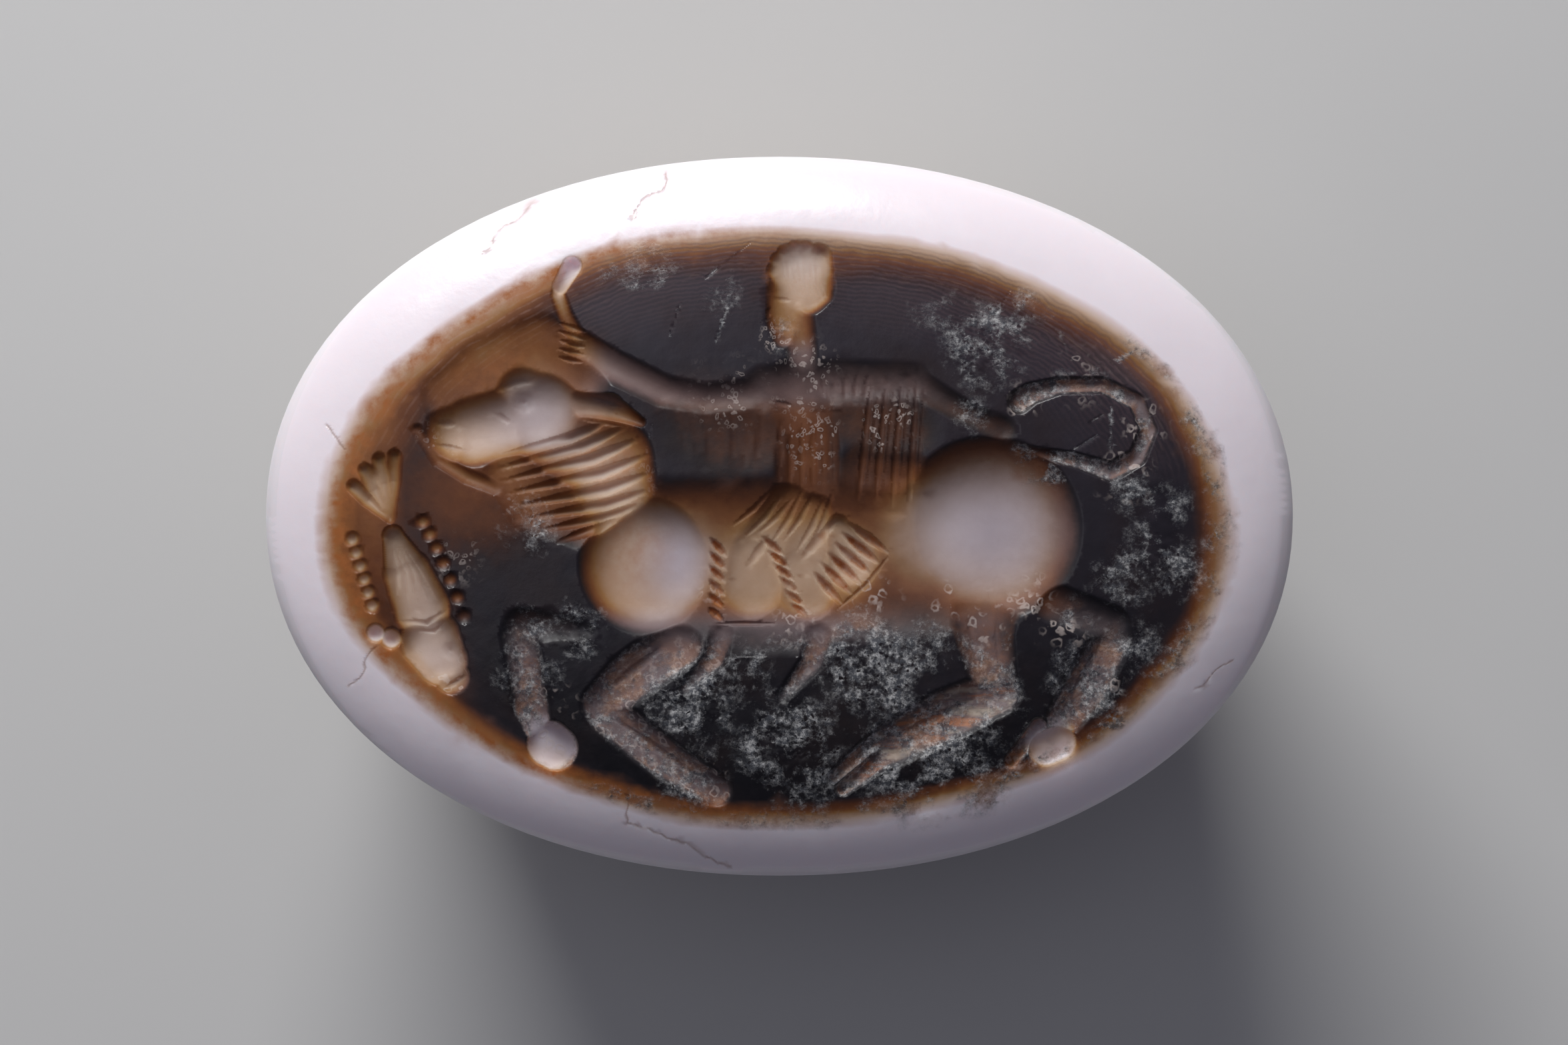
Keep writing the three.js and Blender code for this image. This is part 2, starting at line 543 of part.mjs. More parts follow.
// Three legs on each side. Each runs up the beetle's side between two points, given as a share of the way
// along the beetle and the dome's turn there.
const LEGS = [
  [[-0.3, 0.62], [-0.74, 1.0]],
  [[-0.02, 0.6], [0.1, 1.0]],
  [[0.26, 0.6], [0.66, 1.0]],
];
function beetleLegs() {
  const found = [];
  for (const side of [1, -1])
    for (const [from, to] of LEGS) {
      const points = steps(0, 1).map((t) => {
        const [along, turn] = mixPoints(from, to, t);
        const way = towards(Math.acos(along - LEG_BOW * Math.sin(Math.PI * t)) * side);
        return domePoint(way, turn, LEG_RAISE - LEG_WIDTH / 2);
      });
      found.push(bar(points, LEG_WIDTH));
    }
  return found;
}

// The stone's colour at a point: dark over brown over white, and honey in the beetle's back.
function layerColour(z) {
  const depth = HEIGHT - z;
  const white = DARK_LAYER + BROWN_LAYER;
  if (depth < DARK_LAYER) return DARK;
  if (depth < white) return BROWN;
  const back = clamp((depth - white - WHITE_LAYER) / WHITE_LAYER, 0, 1);
  return WHITE.clone().lerp(HONEY, back);
}

function stoneGeometry() {
  let stone = solid(closedStone());
  for (const leg of beetleLegs()) stone = stone.add(solid(leg));
  const tools = [...beetleLines(), boreGeometry(), endFlatGeometry(1), endFlatGeometry(-1)];
  for (const tool of tools) stone = stone.subtract(solid(tool));
  const mesh = stone.getMesh();
  const places = new Float32Array(mesh.numVert * 3);
  for (let i = 0; i < mesh.numVert; i++) {
    const start = i * mesh.numProp;
    places.set(mesh.vertProperties.subarray(start, start + 3), i * 3);
  }
  const geometry = new THREE.BufferGeometry()
    .setAttribute("position", new THREE.BufferAttribute(places, 3))
    .setIndex(new THREE.BufferAttribute(new Uint32Array(mesh.triVerts), 1));
  const colours = [];
  for (let i = 0; i < mesh.numVert; i++) colours.push(...layerColour(places[i * 3 + 2]).toArray());
  geometry.setAttribute("color", new THREE.Float32BufferAttribute(colours, 3));
  geometry.computeVertexNormals();
  return geometry;
}

const sealStone = new THREE.Mesh(
  stoneGeometry(),
  new THREE.MeshStandardMaterial({ color: 0xffffff, vertexColors: true, roughness: 0.22, metalness: 0 }),
);
sealStone.name = "seal_stone";

const seal = new THREE.Group();
seal.add(sealStone);
export default seal;
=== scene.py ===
import math

import bpy
import numpy as np
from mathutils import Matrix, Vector


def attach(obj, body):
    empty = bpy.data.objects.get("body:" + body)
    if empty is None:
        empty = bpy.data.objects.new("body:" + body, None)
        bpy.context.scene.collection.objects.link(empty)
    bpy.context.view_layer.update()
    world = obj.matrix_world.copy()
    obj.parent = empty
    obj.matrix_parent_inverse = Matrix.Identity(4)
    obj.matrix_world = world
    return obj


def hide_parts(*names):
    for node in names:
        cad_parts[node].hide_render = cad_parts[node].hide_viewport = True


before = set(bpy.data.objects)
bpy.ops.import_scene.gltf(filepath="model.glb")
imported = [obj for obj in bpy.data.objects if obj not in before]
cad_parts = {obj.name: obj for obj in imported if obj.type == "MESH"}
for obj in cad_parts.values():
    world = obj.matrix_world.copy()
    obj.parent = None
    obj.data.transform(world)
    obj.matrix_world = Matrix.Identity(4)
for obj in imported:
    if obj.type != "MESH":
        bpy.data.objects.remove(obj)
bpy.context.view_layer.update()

# A scarab seal of layered agate, lying on its beetle back with the engraved face up.
# Lengths are in millimetres, in the solid's own frame: +Z up, X along the seal, the origin under its middle.
MM = 0.001
LENGTH = 18.0
WIDTH = 12.6
HEIGHT = 9.0
OUTLINE_POWER = 2.08
FACE_CROWN = 0.35
SHOULDER_DROP = 0.75
SHOULDER_POWER = 8
PLINTH_HEIGHT = 1.5
PLINTH_TAPER = 0.1
PLINTH_BEVEL = 0.15
NECK_HEIGHT = 0.6
NECK_DEPTH = 0.45
BEETLE_INSET = 0.6
BEETLE_SWELL = 0.7
REST_SHARE = 0.27
LEG_WIDTH = 0.8
LEG_RAISE = 0.22
LEG_BOW = 0.08
LINE_WIDTH = 0.42
LINE_DEPTH = 0.15
BORE_DIAMETER = 1.5
BORE_DROP = 1.05
END_FLAT = 0.42

HALF_LENGTH = LENGTH / 2
HALF_WIDTH = WIDTH / 2
EDGE_HEIGHT = HEIGHT - FACE_CROWN - SHOULDER_DROP
PLINTH_FOOT = EDGE_HEIGHT - PLINTH_HEIGHT
NECK_FOOT = PLINTH_FOOT - NECK_HEIGHT
WIDEST_HEIGHT = NECK_FOOT - BEETLE_SWELL
BEETLE_HALF_LENGTH = HALF_LENGTH - BEETLE_INSET
BORE_HEIGHT = WIDEST_HEIGHT - BORE_DROP

# The device is drawn for a field of this size, inside a pale rim of this width
DRAWN_LENGTH = 15.6
DRAWN_WIDTH = 10.2
RIM = 1.2
CUT_UNIT = min((LENGTH - 2 * RIM) / DRAWN_LENGTH, (WIDTH - 2 * RIM) / DRAWN_WIDTH)

# Rounding between the cuts, and the share of their named depths that is really cut
CREASE = 0.07
LINE_CREASE = 0.012
CUT_SHARE = 0.65
CRACK_WIDTH = 0.03
CRACK_DEPTH = 0.012
SCRATCH_WIDTH = 0.022
SCRATCH_DEPTH = 0.006
CRUST_HEIGHT = 0.006

# How much of the named depths counts for the colour: large forms, lines, and the paler spots
MASS_SHARE = 0.7
LINE_SHARE = 0.8
PALE_SHARE = 0.7
# What lies lower under the edge, or further off the face's form, isn't the face but the back
DEEPEST_CUT = 1.4
ON_FACE_GAP = 0.002
BACK_LAYER = 3.0
BACK_FIELD = 2.0

# How finely the stone is meshed
FACE_GRID = 1024
FACE_TOLERANCE = 0.0042
BORDER_STEP = 8
RING_POINTS = 352
DOME_RINGS = 100
FLAT_RINGS = 10
BORE_SIDES = 64
SHARP_ANGLE = 35
SLOPE_STEP = 0.004


def smooth(low, high, value):
    """0 under low, 1 over high, and an even curve between."""
    t = np.clip((value - low) / (high - low), 0.0, 1.0)
    return t * t * (3 - 2 * t)


def blend(a, b, crease):
    """The larger of a and b, with the crease between them rounded."""
    h = np.maximum(crease - np.abs(a - b), 0.0) / crease
    return np.maximum(a, b) + h * h * crease / 4


def between(a, b, t):
    return tuple(p + (q - p) * t for p, q in zip(a, b))


# The engraved device. A cut is a path of discs, each (x, y, half width, depth), round the field's middle.
# Its power says how steep its walls are: 2 is a bowl, 5 a flat floor.
def cut(power, *discs):
    return power, discs


def boat(start, end, width, depth, bend=0.0, late=0.5):
    """A wheel cut: narrow and shallow at both ends, and widest at the part of its way that late says."""
    middle = between(start, end, late)
    across = (-(end[1] - start[1]), end[0] - start[0])
    middle = (middle[0] + across[0] * bend, middle[1] + across[1] * bend)
    return 2.0, (
        (*start, width * 0.3, 0.0),
        (*between(start, middle, 0.55), width * 0.8, depth * 0.8),
        (*middle, width, depth),
        (*between(end, middle, 0.5), width * 0.75, depth * 0.75),
        (*end, width * 0.25, 0.0),
    )


def drop(x, y, radius, depth):
    """A mark of the round drill."""
    return 2.0, ((x, y, radius, depth),)


def bull():
    masses = [
        # Haunch, belly and chest
        cut(3.2, (3.62, -0.22, 1.62, 0.8)),
        cut(2.0, (2.75, 0.0, 1.0, 0.52)),
        cut(2.4, (-1.9, -0.8, 1.45, 0.44), (0.6, -0.75, 1.5, 0.42), (3.0, -0.6, 1.45, 0.44)),
        cut(4.0, (-2.24, -0.84, 1.24, 0.78)),
        # Neck and dewlap
        cut(2.6, (-3.7, 1.3, 0.75, 0.5), (-3.0, 0.95, 0.85, 0.54), (-2.9, 0.45, 0.8, 0.52),
            (-2.65, -0.2, 0.65, 0.5)),
        cut(2.0, (-4.6, 0.8, 0.5, 0.24), (-4.1, 0.3, 0.65, 0.28), (-3.4, 0.0, 0.6, 0.34)),
        # Cheek, muzzle, lip and the shallow hollow over the brow
        cut(2.4, (-4.15, 1.78, 0.86, 0.78)),
        cut(2.2, (-4.4, 2.1, 0.62, 0.58)),
        cut(2.1, (-4.5, 1.7, 0.7, 0.62), (-5.3, 1.5, 0.66, 0.58), (-5.6, 1.46, 0.56, 0.5)),
        cut(2.0, (-6.28, 1.5, 0.1, 0.1), (-5.9, 0.98, 0.13, 0.14), (-5.4, 0.68, 0.13, 0.14),
            (-4.9, 0.5, 0.14, 0.12)),
        cut(2.6, (-5.7, 2.1, 0.5, 0.15), (-5.0, 2.5, 0.64, 0.2), (-4.1, 2.95, 0.58, 0.22)),
        cut(2.0, (-4.2, 2.7, 0.6, 0.3), (-3.4, 2.4, 0.5, 0.34)),
        # Ear and horn
        cut(2.4, (-3.55, 1.92, 0.34, 0.5), (-2.95, 1.86, 0.28, 0.46), (-2.4, 1.62, 0.1, 0.2)),
        cut(2.0, (-3.5, 3.0, 0.2, 0.2), (-3.72, 3.5, 0.15, 0.18), (-3.84, 3.85, 0.13, 0.2)),
        cut(3.0, (-3.8, 3.98, 0.15, 0.34), (-3.6, 4.34, 0.18, 0.38)),
        # Near hind leg
        cut(2.4, (3.5, -0.7, 1.0, 0.5), (3.5, -1.5, 0.72, 0.44), (3.55, -2.1, 0.52, 0.4),
            (3.7, -2.8, 0.42, 0.34)),
        cut(2.4, (3.78, -3.05, 0.42, 0.36), (2.9, -3.45, 0.48, 0.36), (1.95, -3.95, 0.42, 0.34)),
        cut(2.4, (1.95, -4.05, 0.24, 0.3), (1.1, -4.72, 0.15, 0.26)),
        cut(2.4, (1.6, -3.95, 0.18, 0.24), (0.95, -4.52, 0.13, 0.2)),
        # Far hind leg
        cut(2.4, (4.75, -1.5, 0.36, 0.28), (5.75, -1.9, 0.36, 0.3)),
        cut(2.4, (5.78, -2.1, 0.36, 0.3), (5.3, -3.0, 0.42, 0.32), (4.95, -3.5, 0.34, 0.3)),
        cut(5.0, (4.62, -4.02, 0.32, 0.37), (4.85, -3.92, 0.32, 0.37)),
        cut(2.4, (4.5, -3.65, 0.17, 0.26), (4.02, -4.25, 0.13, 0.24)),
        # Near foreleg
        cut(2.4, (-1.75, -2.2, 0.48, 0.36), (-2.6, -2.8, 0.46, 0.36), (-3.05, -3.25, 0.4, 0.36)),
        cut(2.4, (-3.0, -3.4, 0.38, 0.34), (-2.0, -4.2, 0.37, 0.34), (-1.1, -4.75, 0.3, 0.3)),
        # Far foreleg, raised
        cut(2.0, (-3.35, -1.98, 0.16, 0.08), (-4.0, -1.9, 0.28, 0.18), (-4.45, -1.92, 0.36, 0.26)),
        cut(2.4, (-4.48, -2.05, 0.36, 0.28), (-4.38, -2.8, 0.32, 0.28), (-4.3, -3.3, 0.34, 0.32),
            (-4.2, -3.65, 0.26, 0.3)),
        cut(5.0, (-3.98, -3.95, 0.42, 0.38), (-3.88, -4.02, 0.4, 0.38)),
        # Tail, curled over the rump
        cut(2.2, (4.2, 1.15, 0.09, 0.1), (5.1, 0.98, 0.14, 0.18), (5.75, 0.77, 0.18, 0.22),
            (6.2, 1.02, 0.17, 0.22),
            (6.4, 1.5, 0.16, 0.2), (6.2, 1.98, 0.16, 0.2), (5.6, 2.27, 0.15, 0.2), (4.85, 2.26, 0.16, 0.2),
            (4.35, 2.12, 0.2, 0.22), (4.15, 1.98, 0.22, 0.22)),
    ]
    lines = [
        # Brow, eye, nostril and mouth
        boat((-4.95, 2.15), (-4.2, 2.35), 0.1, 0.07, bend=0.12),
        drop(-4.45, 1.98, 0.2, 0.06),
        drop(-4.45, 1.98, 0.09, 0.08),
        boat((-4.95, 1.8), (-4.65, 1.6), 0.06, 0.04),
        boat((-6.0, 1.62), (-5.6, 1.6), 0.08, 0.06),
        boat((-6.0, 1.25), (-5.4, 1.12), 0.06, 0.07),
        # The split of the ear
        boat((-3.35, 2.12), (-2.6, 1.86), 0.06, 0.06),
        boat((-3.5, 1.7), (-2.6, 1.55), 0.06, 0.06),
        # Cords of the legs
        boat((3.25, -1.6), (3.45, -2.8), 0.07, 0.05),
        boat((3.75, -1.7), (3.85, -2.8), 0.07, 0.05),
        boat((3.5, -3.1), (2.0, -3.85), 0.09, 0.08),
        boat((-2.0, -2.25), (-3.0, -3.05), 0.1, 0.08),
        boat((-2.9, -3.5), (-1.4, -4.55), 0.08, 0.07),
        boat((-4.55, -2.1), (-4.5, -3.1), 0.07, 0.06),
        boat((5.65, -2.1), (5.05, -3.2), 0.08, 0.06),
    ]
    # Folds of the neck and dewlap, from the nape to the throat
    folds = 8
    for i in range(folds):
        t = i / (folds - 1)
        turn = math.radians(85 - 155 * t)
        nape = (-3.02 + 0.86 * math.cos(turn), 0.82 + 0.84 * math.sin(turn))
        throat = (-4.95 + 1.05 * t * t, 1.02 - 1.5 * t)
        lines.append(boat(nape, throat, 0.115, 0.15, bend=0.035, late=0.36))
    return masses, lines


def rider():
    masses = [
        # Hair, face, chin and neck
        cut(4.0, (0.36, 4.2, 0.55, 0.34), (0.42, 3.95, 0.5, 0.33)),
        cut(2.6, (0.2, 3.8, 0.46, 0.31), (0.1, 3.4, 0.34, 0.27), (0.08, 3.12, 0.22, 0.2)),
        cut(2.0, (0.34, 3.5, 0.26, 0.22), (0.4, 2.6, 0.3, 0.2)),
        # Shoulders, body and hips
        cut(2.0, (-0.2, 2.15, 0.46, 0.22), (1.0, 2.3, 0.42, 0.19), (2.3, 2.3, 0.34, 0.16)),
        cut(2.4, (0.3, 2.1, 0.64, 0.32), (0.45, 1.5, 0.58, 0.26), (0.5, 0.7, 0.62, 0.28),
            (0.5, 0.1, 0.7, 0.36)),
        # Veil under the stretched arm, and cloak behind
        cut(2.0, (-1.5, 1.5, 0.65, 0.06), (-0.9, 1.35, 0.8, 0.09), (-0.3, 1.4, 0.65, 0.12)),
        cut(2.0, (1.3, 1.7, 0.55, 0.08), (1.9, 1.6, 0.75, 0.12), (2.2, 1.5, 0.55, 0.1)),
        cut(2.0, (1.55, 0.7, 0.6, 0.2), (2.1, 0.6, 0.6, 0.24)),
        # The arm stretched to the horn, with its hand, and the arm laid back on the rump
        cut(2.0, (-0.4, 2.12, 0.28, 0.22), (-1.3, 2.02, 0.28, 0.22), (-2.0, 2.16, 0.29, 0.25),
            (-2.9, 2.6, 0.3, 0.3),
            (-3.45, 2.88, 0.34, 0.32)),
        cut(2.0, (2.35, 2.3, 0.25, 0.16), (3.05, 1.88, 0.23, 0.17), (3.4, 1.7, 0.2, 0.14),
            (3.85, 1.5, 0.26, 0.14)),
        # Skirt, in three stepped panels
        cut(4.0, (0.2, 0.1, 0.55, 0.46), (-0.42, -0.75, 0.68, 0.54), (-0.48, -1.15, 0.72, 0.54)),
        cut(4.0, (0.55, 0.0, 0.5, 0.5), (0.4, -0.9, 0.6, 0.58), (0.5, -1.25, 0.64, 0.56)),
        cut(4.0, (1.0, -0.2, 0.3, 0.54), (1.25, -0.7, 0.64, 0.56)),
        # Feet below the hem
        cut(2.0, (-0.65, -2.0, 0.42, 0.14), (0.2, -2.0, 0.42, 0.14)),
        cut(2.4, (-1.0, -2.0, 0.28, 0.28), (-1.12, -2.45, 0.22, 0.24), (-1.62, -2.98, 0.13, 0.12)),
        cut(2.4, (0.66, -2.0, 0.3, 0.28), (0.58, -2.5, 0.22, 0.22), (0.05, -3.12, 0.12, 0.1)),
    ]
    masses.append(cut(3.0, (0.68, 4.5, 0.24, 0.3), (0.72, 3.85, 0.22, 0.3), (0.5, 3.7, 0.22, 0.3)))
    # Curls along the top of the head
    for i in range(8):
        turn = math.radians(5 + 24 * i)
        masses.append(cut(2.4, (0.36 + 0.42 * math.cos(turn), 4.2 + 0.42 * math.sin(turn), 0.17, 0.24)))
    lines = [
        boat((1.05, 0.05), (0.35, -0.8), 0.11, 0.08),
        boat((-0.15, -0.3), (-0.6, -0.95), 0.09, 0.06),
        boat((-0.1, 1.98), (0.25, 1.9), 0.06, 0.05),
        # Face turned to the horn: brow, nose and mouth
        boat((-0.1, 3.78), (0.22, 3.74), 0.05, 0.04),
        boat((-0.2, 3.6), (-0.2, 3.42), 0.06, 0.05),
        boat((-0.14, 3.3), (0.02, 3.27), 0.04, 0.03),
    ]
    # Locks of hair
    for i in range(8):
        t = i / 7
        start = (0.72 * t, 4.62 - 0.15 * t)
        lines.append(boat(start, (0.3 + 0.6 * t, 3.75 - 0.1 * t), 0.045, 0.022, bend=-0.08))
    # Fingers round the horn
    for i in range(5):
        lines.append(boat((-3.3 - 0.02 * i, 3.18 - 0.13 * i), (-3.85, 3.36 - 0.15 * i), 0.055, 0.08))
    # Folds of the veil, of the dress over the body, and of the cloak behind
    for i in range(7):
        end = (-1.55 + 0.18 * i, 0.85 - 0.04 * i)
        lines.append(boat((-1.85 + 0.26 * i, 2.05), end, 0.09, 0.02, bend=0.03))
    for i in range(6):
        lines.append(boat((0.02 + 0.19 * i, 1.75), (-0.02 + 0.2 * i, 0.35), 0.075, 0.045))
    for i in range(4):
        start = (1.62 + 0.26 * i, 2.55)
        end = (1.36 + 0.29 * i, 0.2 - 0.06 * i)
        lines.append(boat(start, end, 0.075, 0.065, late=0.65))
        lines.append(boat((start[0] + 0.13, 2.4), (end[0] + 0.15, 0.4), 0.045, 0.025))
    for i in range(5):
        lines.append(boat((0.75 + 0.2 * i, 2.5), (0.8 + 0.17 * i, 2.0), 0.07, 0.04))
    # Gathers fanning over the lap
    for i in range(7):
        t = i / 6
        end = (-0.85 + 1.35 * t, -0.2 - 0.4 * t - 0.12 * (i % 2))
        lines.append(boat((-0.1 + 1.05 * t, 0.5 - 0.08 * (i % 3)), end, 0.06, 0.055, bend=0.04))
    # Toothed hems of the three panels
    for i in range(6):
        t = i / 5
        start = (-1.22 - 0.03 * t, -0.36 - 1.22 * t)
        lines.append(boat(start, (-0.9 - 0.06 * t, -0.72 - 1.12 * t), 0.085, 0.14))
        start = (-0.32 + 0.5 * t, -0.34 - 1.15 * t)
        lines.append(boat(start, (0.1 + 0.42 * t, -0.7 - 1.08 * t), 0.085, 0.14))
        start = (1.18 - 0.6 * t, -0.1 - 0.86 * t)
        lines.append(boat(start, (1.92 - 0.8 * t, -0.66 - 0.9 * t), 0.095, 0.17))
    lines.append(boat((1.95, -0.62), (0.95, -1.66), 0.05, 0.07, bend=0.05))
    lines.append(boat((-1.15, -1.86), (-0.05, -1.86), 0.05, 0.07))
    return masses, lines


def fish():
    masses = [
        cut(3.0, (-6.7, -0.35, 0.2, 0.3), (-6.45, -1.0, 0.44, 0.44), (-6.2, -1.6, 0.52, 0.48)),
        cut(3.0, (-6.05, -2.15, 0.56, 0.54), (-5.85, -2.5, 0.46, 0.5), (-5.68, -2.78, 0.32, 0.36)),
        cut(2.4, (-7.02, -2.03, 0.17, 0.26)),
        cut(2.4, (-6.74, -2.12, 0.19, 0.28)),
        cut(2.4, (-6.75, 0.0, 0.1, 0.16), (-6.95, 0.62, 0.3, 0.24)),
    ]
    joint = (-6.75, -0.05)
    for tip in ((-7.4, 0.52), (-7.2, 0.8), (-6.95, 0.98), (-6.68, 1.04)):
        middle = between(joint, tip, 0.6)
        masses.append(cut(2.2, (*joint, 0.08, 0.12), (*middle, 0.14, 0.28), (*tip, 0.13, 0.2)))
    for i in range(7):
        masses.append(cut(2.0, (-6.18 + 0.12 * i, -0.1 - 0.2 * i - 0.012 * i * i, 0.14, 0.13)))
    for i in range(6):
        masses.append(cut(2.0, (-7.42 + 0.07 * i, -0.4 - 0.23 * i, 0.14, 0.16)))
    lines = [
        boat((-6.62, -1.82), (-5.72, -1.6), 0.06, 0.07, bend=-0.16),
        boat((-6.3, -2.0), (-5.8, -1.82), 0.045, 0.04, bend=-0.2),
        drop(-5.72, -2.34, 0.17, 0.05),
        drop(-5.72, -2.34, 0.08, 0.07),
        boat((-5.8, -2.98), (-5.42, -2.75), 0.06, 0.08),
    ]
    for i in range(5):
        lines.append(boat((-6.76 + 0.05 * i, -0.45), (-6.66 + 0.2 * i, -1.62), 0.05, 0.035, bend=0.04))
    return masses, lines


FIGURES = [bull(), rider(), fish()]


def path_depth(path, x, y):
    """How deep a path is cut at each point, and less than 0 just outside it."""
    power, discs = path
    deepest = np.full(x.shape, -1.0)
    for a, b in zip(discs, discs[1:] or discs):
        run = (b[0] - a[0], b[1] - a[1])
        along = ((x - a[0]) * run[0] + (y - a[1]) * run[1]) / (run[0] ** 2 + run[1] ** 2 or 1.0)
        t = np.clip(along, 0.0, 1.0)
        gap = np.hypot(x - a[0] - t * run[0], y - a[1] - t * run[1])
        share = gap / (a[2] + (b[2] - a[2]) * t)
        deepest = np.maximum(deepest, (a[3] + (b[3] - a[3]) * t) * (1 - share**power))
    return deepest


def cuts(paths, x, y, crease):
    """The depth of all the paths together."""
    depth = np.zeros(x.shape)
    for path in paths:
        reach = max(d[2] for d in path[1]) * 1.05
        near = (
            (x > min(d[0] for d in path[1]) - reach)
            & (x < max(d[0] for d in path[1]) + reach)
            & (y > min(d[1] for d in path[1]) - reach)
            & (y < max(d[1] for d in path[1]) + reach)
        )
        depth[near] = blend(depth[near], path_depth(path, x[near], y[near]), crease)
    return depth


def engraving(x, y):
    """Depth of the large forms, and of the fine lines cut into them."""
    masses = cuts([p for masses, _ in FIGURES for p in masses], x, y, CREASE)
    lines = cuts([p for _, lines in FIGURES for p in lines], x, y, LINE_CREASE)
    return masses, lines


# Hair cracks that cross the rim, as paths
CRACKS = [
    [(-5.2, 4.6), (-4.9, 4.95), (-4.6, 5.2), (-4.2, 5.55), (-3.6, 5.9)],
    [(-2.6, 5.2), (-2.4, 5.5), (-2.05, 5.7), (-1.95, 6.1)],
    [(-7.0, -2.2), (-7.15, -2.5), (-7.5, -3.0)],
    [(-2.6, -4.9), (-2.7, -5.3), (-2.2, -5.5), (-1.6, -5.7), (-1.3, -5.95), (-0.9, -6.1)],
    [(-7.6, 1.2), (-7.75, 1.4), (-7.9, 1.6)],
    [(7.3, -3.0), (7.9, -2.5)],
]
SCRATCHES = [
    [(-0.5, 4.75), (-1.3, 4.1)], [(5.1, 1.15), (5.5, 1.4)], [(5.72, 1.1), (5.76, 1.9)],
    [(5.35, 1.6), (5.6, 1.75)],
    [(4.0, 3.9), (3.75, 3.5)], [(5.7, 2.6), (6.2, 2.9)], [(4.85, 3.3), (5.0, 2.75)],
    [(-2.2, 1.6), (-2.3, 1.1)],
    [(-1.7, 3.7), (-1.9, 3.1)], [(-0.9, 3.6), (-1.1, 3.0)],
]


def crack(x, y):
    depth = np.zeros(x.shape)
    wander = 0.035 * np.sin(9 * x + 4 * y) + 0.02 * np.sin(23 * y - 17 * x)
    for points in CRACKS:
        discs = tuple((*p, CRACK_WIDTH, 1.0) for p in points)
        depth = np.maximum(depth, path_depth((1.5, discs), x + wander, y - wander))
    return depth


def scratches(x, y):
    depth = np.zeros(x.shape)
    for points in SCRATCHES:
        depth = np.maximum(depth, path_depth((1.5, tuple((*p, SCRATCH_WIDTH, 1.0) for p in points)), x, y))
    return depth


# Crust left by burial, as ragged patches: x, y, radius and strength
CRUST = [
    (3.6, 2.95, 1.0, 1.0), (4.3, 3.6, 0.5, 0.6), (2.9, 3.5, 0.5, 0.5),
    (1.6, -2.6, 1.3, 1.0), (2.6, -2.3, 0.7, 0.7), (0.1, -3.9, 1.2, 1.0), (0.6, -4.6, 0.8, 0.7),
    (2.5, -4.1, 1.6, 1.0), (3.6, -3.3, 0.9, 0.9), (3.5, -4.6, 0.8, 0.8),
    (-1.5, -3.2, 1.0, 0.9), (-0.6, -2.7, 0.7, 0.6), (-3.5, -1.95, 0.7, 0.9), (-4.4, -1.9, 0.5, 0.8),
    (5.9, -1.1, 0.8, 0.6), (6.5, -0.6, 0.7, 0.9), (6.2, 0.5, 0.7, 0.7), (7.0, -1.0, 0.7, 0.6),
    (6.7, 0.2, 0.6, 0.6),
    (5.4, -2.8, 1.0, 0.9), (4.6, -3.9, 0.8, 0.8), (6.1, -2.3, 0.8, 0.6), (5.2, -1.7, 0.5, 0.8),
    (-2.3, 4.3, 0.6, 0.6), (-2.9, 4.1, 0.3, 0.5), (-1.0, 3.9, 0.6, 0.3), (5.2, 2.4, 0.7, 0.4),
    (3.3, 1.7, 0.5, 0.6),
    (-1.5, -4.6, 0.8, 0.8), (-4.4, -2.8, 0.8, 0.7), (-2.5, -3.6, 0.8, 0.6), (-4.3, -0.2, 0.7, 0.5),
    (0.1, 3.1, 0.5, 0.4),
]


def patches(x, y, table, core):
    """Round patches of a table, full in their core and fading out to their radius."""
    total = np.zeros(x.shape)
    for cx, cy, radius, strength in table:
        total = np.maximum(total, strength * (1 - smooth(core, 1.0, np.hypot(x - cx, y - cy) / radius)))
    return total


def crust(x, y):
    return patches(x, y, CRUST, 0.25)


def worn(x, y):
    """A little waviness and pitting, so that the polished surface isn't perfect."""
    low = np.sin(1.7 * x + 0.6 * np.sin(1.3 * y)) * np.sin(1.9 * y + 0.5 * np.sin(1.1 * x))
    fine = np.sin(7.3 * x + 2.1 * np.sin(5.1 * y)) * np.sin(6.9 * y + 1.7 * np.sin(4.7 * x))
    return 0.006 * low + 0.0022 * fine


def grain(x, y):
    """Crumbly height of the crust."""
    a = np.sin(31 * x + 3 * np.sin(13 * y)) * np.sin(29 * y + 3 * np.sin(11 * x))
    b = np.sin(67 * x - 5 * np.sin(23 * y)) * np.sin(61 * y + 4 * np.sin(19 * x))
    return 0.6 * a + 0.4 * b


# The outline, and the chart of the face: a square whose border is the stone's edge
def outline(cos, sin):
    reach = (np.abs(cos) ** OUTLINE_POWER + np.abs(sin) ** OUTLINE_POWER) ** (-1 / OUTLINE_POWER)
    slope = OUTLINE_POWER - 1
    nx = np.sign(cos) * np.abs(cos * reach) ** slope / HALF_LENGTH
    ny = np.sign(sin) * np.abs(sin * reach) ** slope / HALF_WIDTH
    size = np.hypot(nx, ny)
    return HALF_LENGTH * cos * reach, HALF_WIDTH * sin * reach, nx / size, ny / size


def share_of_outline(x, y):
    along = np.abs(x / HALF_LENGTH) ** OUTLINE_POWER
    across = np.abs(y / HALF_WIDTH) ** OUTLINE_POWER
    return (along + across) ** (1 / OUTLINE_POWER)


def surface_drop(share):
    return FACE_CROWN * share**2 + SHOULDER_DROP * share**SHOULDER_POWER


